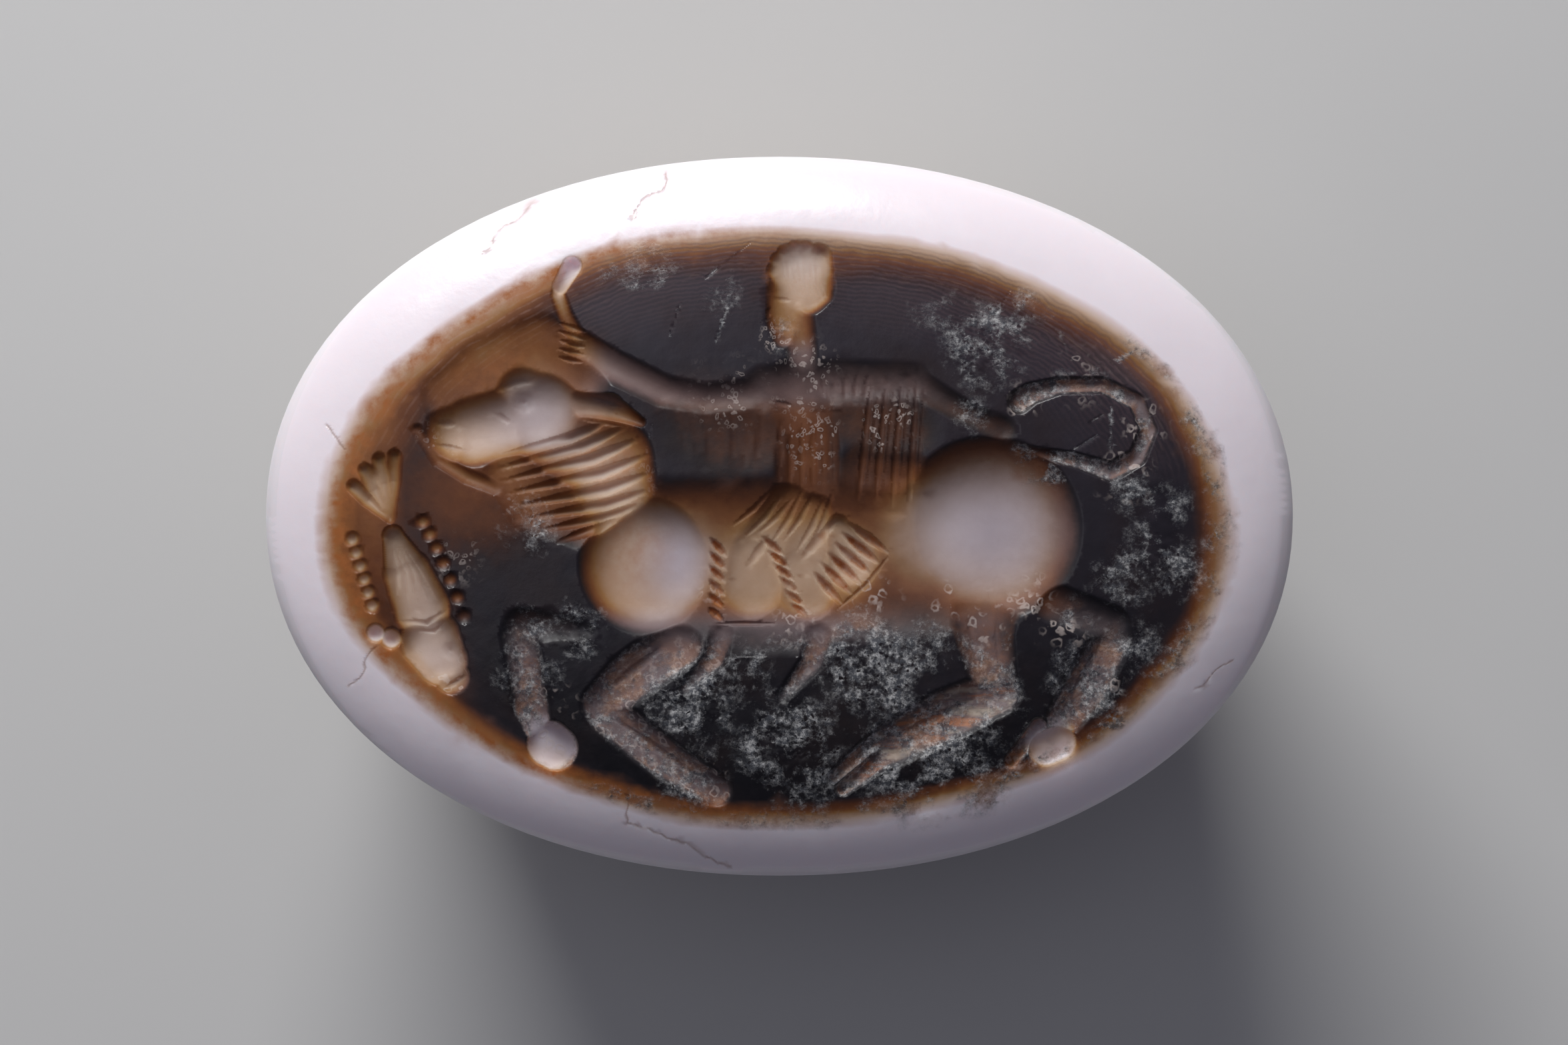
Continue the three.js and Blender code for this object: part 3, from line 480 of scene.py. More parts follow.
def face_height(x, y):
    share = share_of_outline(x, y)
    masses, lines = engraving(x / CUT_UNIT, y / CUT_UNIT)
    cut_depth = (masses + lines) * CUT_SHARE * CUT_UNIT
    inside = 1 - smooth(0.93, 0.99, share)
    rough = worn(x, y) * inside + CRUST_HEIGHT * crust(x, y) * grain(x, y) + SCRATCH_DEPTH * scratches(x, y)
    rough = rough + CRACK_DEPTH * crack(x, y) * (1 - smooth(0.97, 0.985, share))
    return HEIGHT - surface_drop(np.minimum(share, 1.0)) - cut_depth - rough


def chart_places():
    line = np.linspace(-1, 1, FACE_GRID + 1)
    u, v = np.meshgrid(line, line, indexing="xy")
    p = u * np.sqrt(1 - v * v / 2)
    q = v * np.sqrt(1 - u * u / 2)
    share = np.hypot(p, q)
    safe = np.where(share > 0, share, 1.0)
    ex, ey, _, _ = outline(np.where(share > 0, p / safe, 1.0), q / safe)
    share = np.minimum(share, 1.0)
    x = ex * share
    y = ey * share
    z = face_height(x, y)
    border = np.zeros(x.shape, bool)
    border[0, :] = border[-1, :] = border[:, 0] = border[:, -1] = True
    z[border] = EDGE_HEIGHT
    return np.stack([x, y, z], axis=-1), border


def chart_normals(places):
    du = np.gradient(places, axis=1)
    dv = np.gradient(places, axis=0)
    normals = np.cross(du, dv)
    return normals / np.maximum(np.linalg.norm(normals, axis=-1, keepdims=True), 1e-12)


def right_triangles(places, normals, border, tolerance, border_step):
    """Splits right triangles on the grid until no point stands off them by more than the tolerance."""
    size = FACE_GRID
    errors = np.zeros(border.shape)

    def off(a, m, b):
        gap = (places[a] + places[b]) / 2 - places[m]
        flat = np.abs(np.sum(gap * normals[m], axis=-1))
        return np.where(border[m], np.linalg.norm(gap, axis=-1), flat) / tolerance

    def at(rows, columns):
        return slice(*rows), slice(*columns)

    square = 2
    while square <= size:
        half = square // 2
        quarter = square // 4
        end = size + 1
        # Middles of the sides that run along a row, then of those that run along a column
        rows = (0, end, square)
        row_middles = at(rows, (half, end, square))
        errors[row_middles] = off(at(rows, (0, size, square)), row_middles, at(rows, (square, end, square)))
        column_middles = at((half, end, square), rows)
        above = at((0, size, square), rows)
        errors[column_middles] = off(above, column_middles, at((square, end, square), rows))
        if quarter:
            padded = np.zeros((size + 1 + 2 * quarter,) * 2)
            padded[quarter:-quarter, quarter:-quarter] = errors
            for middles in (row_middles, column_middles):
                most = errors[middles]
                for a in (0, 2 * quarter):
                    for b in (0, 2 * quarter):
                        near = tuple(slice(s.start + d, s.stop + d, s.step) for s, d in zip(middles, (a, b)))
                        most = np.maximum(most, padded[near][: most.shape[0], : most.shape[1]])
                errors[middles] = most
        centres = at((half, end, square), (half, end, square))
        low = (0, size, square)
        high = (square, end, square)
        falling = off(at(low, low), centres, at(high, high))
        most = np.maximum(falling, off(at(low, high), centres, at(high, low)))
        for da, db in ((-half, 0), (half, 0), (0, -half), (0, half)):
            near = at((half + da, end + da, square), (half + db, end + db, square))
            most = np.maximum(most, errors[near][: most.shape[0], : most.shape[1]])
        errors[centres] = most
        if square == border_step:
            errors[::square, 0] = errors[::square, -1] = errors[0, ::square] = errors[-1, ::square] = np.inf
        elif square < border_step:
            errors[:, 0] = errors[:, -1] = errors[0, :] = errors[-1, :] = 0.0
        square *= 2

    a = np.array([[0, 0], [size, size]])
    b = np.array([[size, size], [0, 0]])
    c = np.array([[size, 0], [0, size]])
    done = []
    while len(a):
        middle = (a + b) // 2
        splits = (np.abs(a - c).sum(axis=1) > 1) & (errors[middle[:, 1], middle[:, 0]] > 1)
        done.append(np.stack([a[~splits], c[~splits], b[~splits]], axis=1))
        a, b, c, middle = a[splits], b[splits], c[splits], middle[splits]
        a, b, c = np.concatenate([c, b]), np.concatenate([a, c]), np.concatenate([middle, middle])
    return np.concatenate(done)


# The back of the stone, as rings below its edge
SIDE_PROFILE = [
    (PLINTH_TAPER * 0.3, EDGE_HEIGHT - 0.3),
    (PLINTH_TAPER * 0.7, EDGE_HEIGHT - PLINTH_HEIGHT * 0.6),
    (PLINTH_TAPER, PLINTH_FOOT + PLINTH_BEVEL * 1.6),
    (PLINTH_TAPER + 0.01, PLINTH_FOOT + PLINTH_BEVEL),
    (PLINTH_TAPER + PLINTH_BEVEL * 0.3, PLINTH_FOOT + PLINTH_BEVEL * 0.3),
    (PLINTH_TAPER + PLINTH_BEVEL, PLINTH_FOOT),
    (BEETLE_INSET, PLINTH_FOOT - NECK_HEIGHT * 0.03),
    (BEETLE_INSET + NECK_DEPTH * 0.75, PLINTH_FOOT - NECK_HEIGHT * 0.09),
    (BEETLE_INSET + NECK_DEPTH * 0.95, PLINTH_FOOT - NECK_HEIGHT * 0.25),
    (BEETLE_INSET + NECK_DEPTH, PLINTH_FOOT - NECK_HEIGHT * 0.4),
    (BEETLE_INSET + NECK_DEPTH * 0.95, PLINTH_FOOT - NECK_HEIGHT * 0.6),
    (BEETLE_INSET + NECK_DEPTH * 0.8, PLINTH_FOOT - NECK_HEIGHT * 0.78),
    (BEETLE_INSET + NECK_DEPTH * 0.55, PLINTH_FOOT - NECK_HEIGHT * 0.93),
    (BEETLE_INSET + NECK_DEPTH * 0.36, NECK_FOOT - BEETLE_SWELL * 0.08),
    (BEETLE_INSET + NECK_DEPTH * 0.2, NECK_FOOT - BEETLE_SWELL * 0.28),
    (BEETLE_INSET + NECK_DEPTH * 0.08, NECK_FOOT - BEETLE_SWELL * 0.52),
    (BEETLE_INSET + NECK_DEPTH * 0.02, NECK_FOOT - BEETLE_SWELL * 0.76),
    (BEETLE_INSET, WIDEST_HEIGHT),
]
LEGS = [((-0.3, 0.62), (-0.74, 1.0)), ((-0.02, 0.6), (0.1, 1.0)), ((0.26, 0.6), (0.66, 1.0))]


def dome_point(cos, sin, turn):
    ex, ey, nx, ny = outline(cos, sin)
    slope = turn * math.pi / 2
    out = REST_SHARE + (1 - REST_SHARE) * np.sin(slope)
    x = (ex - nx * BEETLE_INSET) * out
    y = (ey - ny * BEETLE_INSET) * out
    z = WIDEST_HEIGHT * (1 - np.cos(slope))
    rise = WIDEST_HEIGHT * np.sin(slope)
    run = (1 - REST_SHARE) * np.hypot(ex, ey) * np.cos(slope)
    normal = np.stack([nx * rise, ny * rise, -run + 0 * rise], axis=-1)
    return np.stack([x, y, z + 0 * x], axis=-1), normal / np.linalg.norm(normal, axis=-1, keepdims=True)


def on_dome(along, across):
    size = np.maximum(np.hypot(along, across), 1e-9)
    out = (np.abs(along) ** OUTLINE_POWER + np.abs(across) ** OUTLINE_POWER) ** (1 / OUTLINE_POWER)
    turn = np.arcsin(np.clip((out - REST_SHARE) / (1 - REST_SHARE), 0, 1)) / (math.pi / 2)
    places = dome_point(along / size, across / size, turn)[0]
    places[..., :2] *= np.minimum(out / REST_SHARE, 1.0)[..., None]
    return places


def gap_to_path(places, path):
    nearest = np.full(places.shape[:-1], np.inf)
    for a, b in zip(path, path[1:]):
        run = b - a
        t = np.clip(((places - a) @ run) / (run @ run), 0, 1)
        nearest = np.minimum(nearest, np.linalg.norm(places - a - t[..., None] * run, axis=-1))
    return nearest


def worn_bar(gap, width, reach):
    """Height over the surface of a bar that stands out by reach, with its sides worn soft."""
    return reach * (1 - smooth(0.3, 1.0, gap / (width / 2)))


def beetle_relief(places):
    raised = np.zeros(places.shape[:-1])
    t = np.linspace(0, 1, 13)
    for side in (1, -1):
        for start, end in LEGS:
            along = start[0] + (end[0] - start[0]) * t - LEG_BOW * np.sin(math.pi * t)
            turn = start[1] + (end[1] - start[1]) * t
            path = dome_point(along, side * np.sqrt(1 - along**2), turn)[0]
            raised = np.maximum(raised, worn_bar(gap_to_path(places, path), LEG_WIDTH, LEG_RAISE))
    sunk = np.zeros(places.shape[:-1])
    y = np.linspace(-0.84, 0.84, 25)
    head = np.linspace(-0.58, 0.58, 25)
    x = np.linspace(-0.32, 0.88, 25)
    for path in (on_dome(-0.32 - 0.12 * y**2, y), on_dome(-0.72 + 0.24 * head**2, head), on_dome(x, 0 * x)):
        sunk = np.maximum(sunk, worn_bar(gap_to_path(places, path), LINE_WIDTH, LINE_DEPTH))
    return raised - sunk


def back_rings():
    angle = np.arange(RING_POINTS) * 2 * math.pi / RING_POINTS
    cos, sin = np.cos(angle), np.sin(angle)
    ex, ey, nx, ny = outline(cos, sin)
    rings = []
    for inset, height in SIDE_PROFILE:
        rings.append(np.stack([ex - nx * inset, ey - ny * inset, height + 0 * ex], axis=-1))
    for k in range(DOME_RINGS - 1, -1, -1):
        places, normals = dome_point(cos, sin, k / DOME_RINGS)
        rings.append(places + normals * beetle_relief(places)[:, None])
    for share in np.arange(FLAT_RINGS - 1, 0, -1) / FLAT_RINGS:
        places = dome_point(cos, sin, 0.0)[0] * (share, share, 1)
        rings.append(places - np.array([0, 0, 1.0]) * beetle_relief(places)[:, None])
    return rings, angle


def zip_rings(above, above_angle, below, below_angle):
    """Triangles between two rings of vertex numbers, stepping along whichever is behind."""
    found = []
    i = j = 0
    a_next = np.append(above_angle[1:], above_angle[0] + 2 * math.pi)
    b_next = np.append(below_angle[1:], below_angle[0] + 2 * math.pi)
    while i < len(above) or j < len(below):
        a = above[i % len(above)]
        b = below[j % len(below)]
        if j >= len(below) or (i < len(above) and a_next[i] <= b_next[j]):
            i += 1
            found.append((a, b, above[i % len(above)]))
        else:
            j += 1
            found.append((a, b, below[j % len(below)]))
    return found


def stone_mesh():
    places, border = chart_places()
    normals = chart_normals(places)
    corners = right_triangles(places, normals, border, FACE_TOLERANCE, BORDER_STEP)
    keys = corners[..., 1] * (FACE_GRID + 1) + corners[..., 0]
    used, faces = np.unique(keys, return_inverse=True)
    faces = faces.reshape(-1, 3)
    vertices = places.reshape(-1, 3)[used]
    on_edge = np.nonzero(border.reshape(-1)[used])[0]
    edge = vertices[on_edge] / (HALF_LENGTH, HALF_WIDTH, 1)
    edge_angle = np.mod(np.arctan2(edge[:, 1], edge[:, 0]), 2 * math.pi)
    order = np.argsort(edge_angle)
    above, above_angle = on_edge[order], edge_angle[order]
    rings, angle = back_rings()
    all_faces = [faces]
    count = len(vertices)
    vertices = [vertices]
    for ring in rings:
        below = np.arange(count, count + len(ring))
        all_faces.append(np.array(zip_rings(above, above_angle, below, angle)))
        vertices.append(ring)
        count += len(ring)
        above, above_angle = below, angle
    sunk = beetle_relief(np.zeros((1, 3)))[0]
    vertices.append(np.array([[0, 0, -sunk]]))
    all_faces.append(np.stack([np.full(len(above), count), np.roll(above, -1), above], axis=1))
    return np.concatenate(vertices), np.concatenate(all_faces)


def make_object(name, vertices, faces):
    mesh = bpy.data.meshes.new(name)
    mesh.from_pydata([tuple(p * MM) for p in vertices], [], [tuple(f) for f in faces.tolist()])
    obj = bpy.data.objects.new(name, mesh)
    bpy.context.scene.collection.objects.link(obj)
    return obj


def cutters():
    bpy.ops.mesh.primitive_cylinder_add(
        vertices=BORE_SIDES, radius=BORE_DIAMETER / 2 * MM, depth=LENGTH * MM,
        location=(0, 0, BORE_HEIGHT * MM), rotation=(0, math.pi / 2, 0),
    )
    made = [bpy.context.object]
    low = WIDEST_HEIGHT * 0.2
    high = PLINTH_FOOT - NECK_HEIGHT * 0.6
    start = BEETLE_HALF_LENGTH - END_FLAT
    for way in (1, -1):
        middle = (way * (start + HALF_LENGTH / 2) * MM, 0, (low + high) / 2 * MM)
        bpy.ops.mesh.primitive_cube_add(size=1, location=middle)
        box = bpy.context.object
        box.scale = (HALF_LENGTH * MM, (HALF_WIDTH - BEETLE_INSET) * MM, (high - low) * MM)
        made.append(box)
    return made


def carve(obj, tools):
    for tool in tools:
        modifier = obj.modifiers.new("cut", "BOOLEAN")
        modifier.operation = "DIFFERENCE"
        modifier.solver = "MANIFOLD"
        modifier.object = tool
    depsgraph = bpy.context.evaluated_depsgraph_get()
    made = bpy.data.meshes.new_from_object(obj.evaluated_get(depsgraph))
    obj.modifiers.clear()
    obj.data = made
    for tool in tools:
        bpy.data.objects.remove(tool)


def field_norm(x, y):
    """1 on the border of the dark field, and 0 in its middle."""
    angle = np.arctan2(y, x)
    waves = 0.005 * np.sin(5 * angle + 1.0) + 0.003 * np.sin(11 * angle)
    return np.hypot(x / 7.8, (y + 0.13) / 5.15) + waves


def around(x, y, cx, cy, rx, ry):
    """1 in the middle of a soft oval, fading out past its radii."""
    return np.exp(-(((x - cx) / rx) ** 2) - ((y - cy) / ry) ** 2)


def spots(x, y, table):
    """The soft ovals of a table, whose rows are x, y, both radii and strength."""
    return [strength * around(x, y, *oval) for *oval, strength in table]


# Where the dark layer ends further in, or further out, and by how much of the field
BORDER_SHIFTS = [(-5.0, -4.0, 2.2, 1.6, 0.012), (7.6, 0.0, 1.5, 2.5, 0.007), (5.0, -3.8, 2.5, 1.5, -0.014)]


def ring_layer(x, y):
    """The dark layer thins out towards the pale rim: how much of it is worn off there."""
    top = smooth(-4, 3, y - 0.45 * x) * smooth(-7.7, -6.2, x)
    field = field_norm(x, y) + 0.013 * top * smooth(-4.0, -1.0, x) + sum(spots(x, y, BORDER_SHIFTS))
    thinning = 0.25 * top * smooth(0.82, 0.95, field) + 0.25 * smooth(0.925, 0.965, field)
    return thinning + 0.4 * smooth(0.96, 1.01, field) + 0.85 * smooth(0.99, 1.05, field)


# Where the pale layer comes nearer to the surface, as cuts of colour alone
PALE = [
    cut(3.0, (0.36, 4.22, 0.64, 0.62), (0.4, 3.95, 0.54, 0.55)),
    cut(2.0, (0.1, 3.5, 0.5, 0.3), (0.38, 2.9, 0.35, 0.3)),
    cut(2.5, (-3.82, 3.9, 0.22, 0.5), (-3.58, 4.38, 0.24, 0.75)),
    cut(2.0, (-3.8, 3.8, 0.25, 0.3), (-3.6, 3.2, 0.4, 0.25), (-2.9, 2.65, 0.4, 0.2), (-2.0, 2.2, 0.3, 0.1)),
    cut(2.0, (-5.4, 1.5, 0.9, 0.3), (-4.3, 1.9, 1.0, 0.28)),
    cut(3.0, (-5.7, 2.1, 0.6, 0.14), (-5.0, 2.5, 0.74, 0.16), (-4.1, 2.95, 0.68, 0.16)),
    cut(2.0, (-3.4, 1.9, 0.4, 0.15), (-2.6, 1.7, 0.3, 0.25)),
    cut(2.0, (-3.6, 1.1, 0.7, 0.12), (-2.9, 0.6, 0.9, 0.45), (-2.4, 1.4, 0.5, 0.15)),
    cut(6.0, (-2.24, -0.84, 1.24, 0.22)),
    cut(2.0, (-1.7, -0.75, 1.0, 0.36)),
    cut(5.0, (3.62, -0.22, 1.6, 0.16)),
    cut(2.0, (2.7, -0.2, 1.2, 0.42)),
    cut(2.0, (-6.6, -0.5, 0.5, 0.35), (-6.2, -1.6, 0.65, 0.45), (-5.9, -2.3, 0.65, 0.4)),
    cut(2.0, (-7.05, 0.5, 0.65, 0.1)),
    cut(2.0, (-7.4, -0.5, 0.45, 0.3), (-7.1, -1.6, 0.4, 0.4)),
    cut(2.0, (-6.15, -0.15, 0.35, 0.35), (-5.6, -1.5, 0.35, 0.3)),
    cut(2.0, (-7.0, -2.05, 0.3, 0.8), (-6.75, -2.15, 0.25, 0.7)),
    cut(3.0, (-3.95, -3.95, 0.6, 0.8)),
    cut(3.0, (4.72, -3.95, 0.55, 0.75)),
    cut(2.0, (5.1, 0.98, 0.3, 0.3), (5.75, 0.77, 0.3, 0.35), (6.2, 1.02, 0.3, 0.35), (6.4, 1.5, 0.3, 0.35),
        (6.2, 1.98, 0.3, 0.35), (5.6, 2.27, 0.3, 0.3), (4.3, 2.1, 0.3, 0.35)),
    cut(3.0, (-0.4, -0.9, 1.0, 0.32), (1.0, -0.8, 0.9, 0.32)),
]

# Painted glow: brown light, as if shining through the dark layer, painted round the large cuts
HALOS = [
    cut(1.2, (3.62, -0.22, 2.15, 0.17)),
    cut(1.2, (-1.9, -0.7, 1.8, 0.17), (3.0, -0.5, 1.8, 0.17)),
    cut(1.2, (-3.9, 1.5, 1.3, 0.17), (-2.8, 0.3, 1.3, 0.17)),
    cut(1.2, (-3.45, 2.88, 0.8, 0.16), (-2.0, 2.16, 0.7, 0.15), (-0.2, 2.15, 0.9, 0.15),
        (2.3, 2.3, 0.75, 0.13)),
    cut(1.2, (0.36, 4.1, 1.0, 0.17), (0.2, 3.2, 0.7, 0.13)),
    cut(1.2, (-6.4, -0.5, 0.9, 0.15), (-5.9, -2.3, 1.0, 0.15)),
]


# Browner throat and brow without a cut; and a painted glow of brown light round the rider and the feet
THROAT_AND_BROW = [(-5.4, 0.35, 1.5, 1.1, 0.27), (-5.0, 3.0, 1.6, 0.8, 0.1)]
PAINTED_GLOWS = [
    (0.3, 1.4, 2.6, 1.2, 0.06), (-1.3, 0.3, 1.6, 0.5, 0.12),
    (0.3, 4.0, 0.95, 0.9, 0.12), (0.9, -1.95, 2.4, 0.4, 0.15),
]


def shift(x, y, masses):
    """Places where the dark layer is thinner from the start, and where more of it is left, with a painted
    glow of brown light round the large cuts and the rider.
    """
    throat_and_brow = sum(spots(x, y, THROAT_AND_BROW))
    left_end = 0.26 * around(x, y, -7.1, 0.1, 0.9, 1.9) * smooth(0.99, 0.92, field_norm(x, y))
    painted_glow = cuts(HALOS, x, y, 0.05) * (1 - 0.8 * smooth(0.05, 0.4, masses))
    # soft holds the painted glow of brown light round the cuts and the rider, with the browner throat, brow
    # and left end
    soft = np.maximum.reduce([throat_and_brow, left_end, painted_glow, *spots(x, y, PAINTED_GLOWS)])
    legs = 0.12 * smooth(-2.0, -2.6, y)
    low_belly = -0.05 * smooth(-0.9, -1.7, y) * smooth(1.2, 1.7, x) * smooth(3.0, 2.5, x)
    thigh = -0.06 * around(x, y, 3.5, -2.1, 0.9, 0.7)
    pale = PALE_SHARE * cuts(PALE, x, y, 0.1)
    return soft + (legs + low_belly + thigh + pale) * smooth(0.03, 0.16, masses)


def amber_share(x, y, masses, lines):
    """Orange-brown: the thin skin over the brow, the ring, the curls and what stayed in the grooves."""
    brow = 0.4 * around(x, y, -4.9, 2.6, 1.1, 0.6) * smooth(0.03, 0.12, masses) * smooth(0.55, 0.35, masses)
    field = field_norm(x, y)
    ring = smooth(0.93, 0.975, field) * smooth(1.015, 0.99, field) * smooth(2.0, -4.0, x)
    lap = smooth(0.6, 0.3, y) * smooth(-1.4, -1.2, x) * smooth(2.4, 2.2, x) * smooth(-2.0, -1.8, y)
    slots = around(x, y, -3.0, 1.0, 0.6, 0.6) * smooth(0.05, 0.0, lines) * smooth(0.25, 0.4, masses)
    from_head = np.hypot(x - 0.36, y - 4.2)
    curls = smooth(0.48, 0.56, from_head) * smooth(0.66, 0.56, from_head)
    grooves = smooth(0.05, 0.1, lines) * lap
    chest = 0.35 * around(x, y, -2.6, -0.5, 0.7, 0.9) * smooth(0.3, 0.6, masses)
    thigh = 0.28 * around(x, y, 3.5, -2.0, 0.7, 0.55) * smooth(0.03, 0.12, masses)
    cloth = 0.05 * around(x, y, -0.8, 1.3, 1.3, 0.9) + 0.08 * around(x, y, 1.6, 1.3, 1.4, 1.1)
    shares = brow + ring * smooth(0.1, 0.0, masses) + 0.65 * slots + 0.5 * curls * smooth(3.6, 4.2, y)
    return np.clip(shares + grooves + chest + thigh + cloth * smooth(0.02, 0.08, masses), 0, 1)


# Where small pale crystal rings sit: x, y, radius and strength
BEADS = [
    (3.0, -1.4, 0.4, 1.0), (3.6, -1.8, 0.6, 1.0), (4.4, -1.4, 0.5, 0.7), (5.0, -1.9, 0.5, 0.8),
    (1.6, -1.4, 0.5, 0.9),
    (0.6, 1.2, 0.7, 0.7), (0.4, 2.4, 0.8, 0.8), (1.9, 1.6, 0.6, 0.9), (-0.9, 2.1, 0.8, 0.5),
    (0.0, 3.1, 0.4, 0.8),
    (-3.9, -3.3, 0.5, 0.8), (-1.3, -4.6, 0.5, 1.0), (-5.6, -0.8, 0.5, 0.5), (-4.4, 0.1, 0.5, 0.5),
    (-1.2, -1.3, 0.3, 0.5),
    (0.2, -1.9, 0.5, 0.8), (6.3, 1.6, 0.5, 1.0), (6.0, 0.7, 0.6, 1.0), (5.2, 2.4, 0.6, 0.6),
    (4.2, 2.0, 0.4, 1.0),
    (4.7, -3.9, 0.5, 0.8), (5.5, -3.0, 0.6, 0.8), (-3.1, -3.3, 0.4, 0.6), (-2.5, 0.6, 0.5, 0.3),
    (-5.9, 1.3, 0.5, 0.4),
]


def crystals(x, y, masses):
    """Where the crystal rings show: in their patches and all over the legs."""
    on_legs = 0.7 * smooth(-1.9, -2.5, y) * smooth(0.05, 0.15, masses)
    return np.maximum(patches(x, y, BEADS, 0.5), on_legs)


# Where milky grey shows blue in the deep cuts: chest, haunch, cheek and fish
BLUISH = [
    (-1.75, -0.75, 0.6, 0.9, 1.0), (3.7, -0.25, 1.5, 1.3, 1.0),
    (-4.2, 1.7, 1.1, 0.9, 0.75), (-5.9, -1.5, 0.7, 1.4, 0.3),
]
HOOVES = [(-3.93, -3.98, 0.42, 0.42, 1.0), (4.72, -3.97, 0.42, 0.36, 1.0)]


def cold_share(x, y, masses):
    """Greyish mauve where the upper layer is thin but not cut through: legs, arms and dress."""
    low = smooth(-1.5, -2.0, y) * smooth(-6.0, -4.8, x)
    right = smooth(4.6, 5.4, x) * smooth(2.9, 2.2, np.abs(y))
    dress = 0.8 * smooth(1.75, 2.1, y) * smooth(-3.5, -2.9, x) * smooth(3.2, 2.8, y)
    in_field = smooth(0.955, 0.9, field_norm(x, y))
    bluish = sum(spots(x, y, BLUISH)) * smooth(0.2, 0.5, masses)
    return np.clip((low + right + dress) * in_field + bluish, 0, 1)


def crust_share(x, y, masses):
    """Crust in its patches, over the legs and the tail, along the lower ring and in the scratches."""
    legs = smooth(-1.9, -2.5, y) * smooth(-5.4, -5.0, x)
    tail = smooth(3.9, 4.3, x) * smooth(0.5, 0.7, y)
    share = np.maximum(crust(x, y), (0.75 * legs + tail) * smooth(0.03, 0.12, masses))
    share *= 1 - np.clip(1.5 * sum(spots(x, y, HOOVES)), 0, 0.9) * smooth(0.1, 0.3, masses)
    field = field_norm(x, y)
    ring = 0.9 * smooth(0.96, 0.985, field) * smooth(1.02, 1.0, field) * smooth(1.0, 3.5, 0.8 * x - y)
    return np.maximum.reduce([share, ring, 0.9 * np.clip(scratches(x, y), 0, 1)])


def vertex_places(mesh):
    places = np.zeros(len(mesh.vertices) * 3, np.float32)
    mesh.vertices.foreach_get("co", places)
    return places.reshape(-1, 3).astype(float) / MM


def face_slopes(x, y):
    """Normals of the engraved face, from its form."""
    step = SLOPE_STEP
    slope_x = (face_height(x + step, y) - face_height(x - step, y)) / (2 * step)
    slope_y = (face_height(x, y + step) - face_height(x, y - step)) / (2 * step)
    normals = np.stack([-slope_x, -slope_y, np.ones(len(x))], axis=-1)
    return normals / np.linalg.norm(normals, axis=-1, keepdims=True)


def paint(obj):
    """Smooth normals and the attributes that the stone's material reads."""
    mesh = obj.data
    x, y, z = vertex_places(mesh).T
    share = share_of_outline(x, y)
    on_face = (z > EDGE_HEIGHT - DEEPEST_CUT) & (share < 0.9999)
    on_face[on_face] = np.abs(face_height(x[on_face], y[on_face]) - z[on_face]) < ON_FACE_GAP
    face_x, face_y = x[on_face], y[on_face]
    masses, lines = engraving(face_x / CUT_UNIT, face_y / CUT_UNIT)
    layer = ring_layer(face_x, face_y) + (MASS_SHARE * masses + LINE_SHARE * lines)
    # The layer entry also carries the painted glow of brown light from shift()
    on_face_alone = {
        "layer": layer + shift(face_x, face_y, masses),
        "field": field_norm(face_x, face_y),
        "cold": cold_share(face_x, face_y, masses),
        "matt": smooth(0.0, 0.06, masses + lines),
        "crust": crust_share(face_x, face_y, masses),
        "amber": amber_share(face_x, face_y, masses, lines),
        "crack": np.clip(crack(face_x, face_y), 0, 1),
        "beads": crystals(face_x, face_y, masses),
    }
    elsewhere = {"layer": BACK_LAYER, "field": BACK_FIELD}
    for name, values in on_face_alone.items():
        whole = np.full(len(x), elsewhere.get(name, 0.0), np.float32)
        whole[on_face] = values
        mesh.attributes.new(name, "FLOAT", "POINT").data.foreach_set("value", whole)

    # The face's normals come from its form, and the rest from the mesh
    mesh.polygons.foreach_set("use_smooth", np.ones(len(mesh.polygons), bool))
    mesh.set_sharp_from_angle(angle=math.radians(SHARP_ANGLE))
    normals = np.zeros((len(x), 3))
    inner = on_face & (share < 0.995)
    normals[inner] = face_slopes(x[inner], y[inner])
    mesh.normals_split_custom_set_from_vertices([tuple(n) for n in normals])


# Materials
def linear(code):
    """A colour given as #rrggbb, for a node socket."""
    channels = [int(code[i : i + 2], 16) / 255 for i in (1, 3, 5)]
    return tuple(c / 12.92 if c <= 0.04045 else ((c + 0.055) / 1.055) ** 2.4 for c in channels) + (1.0,)


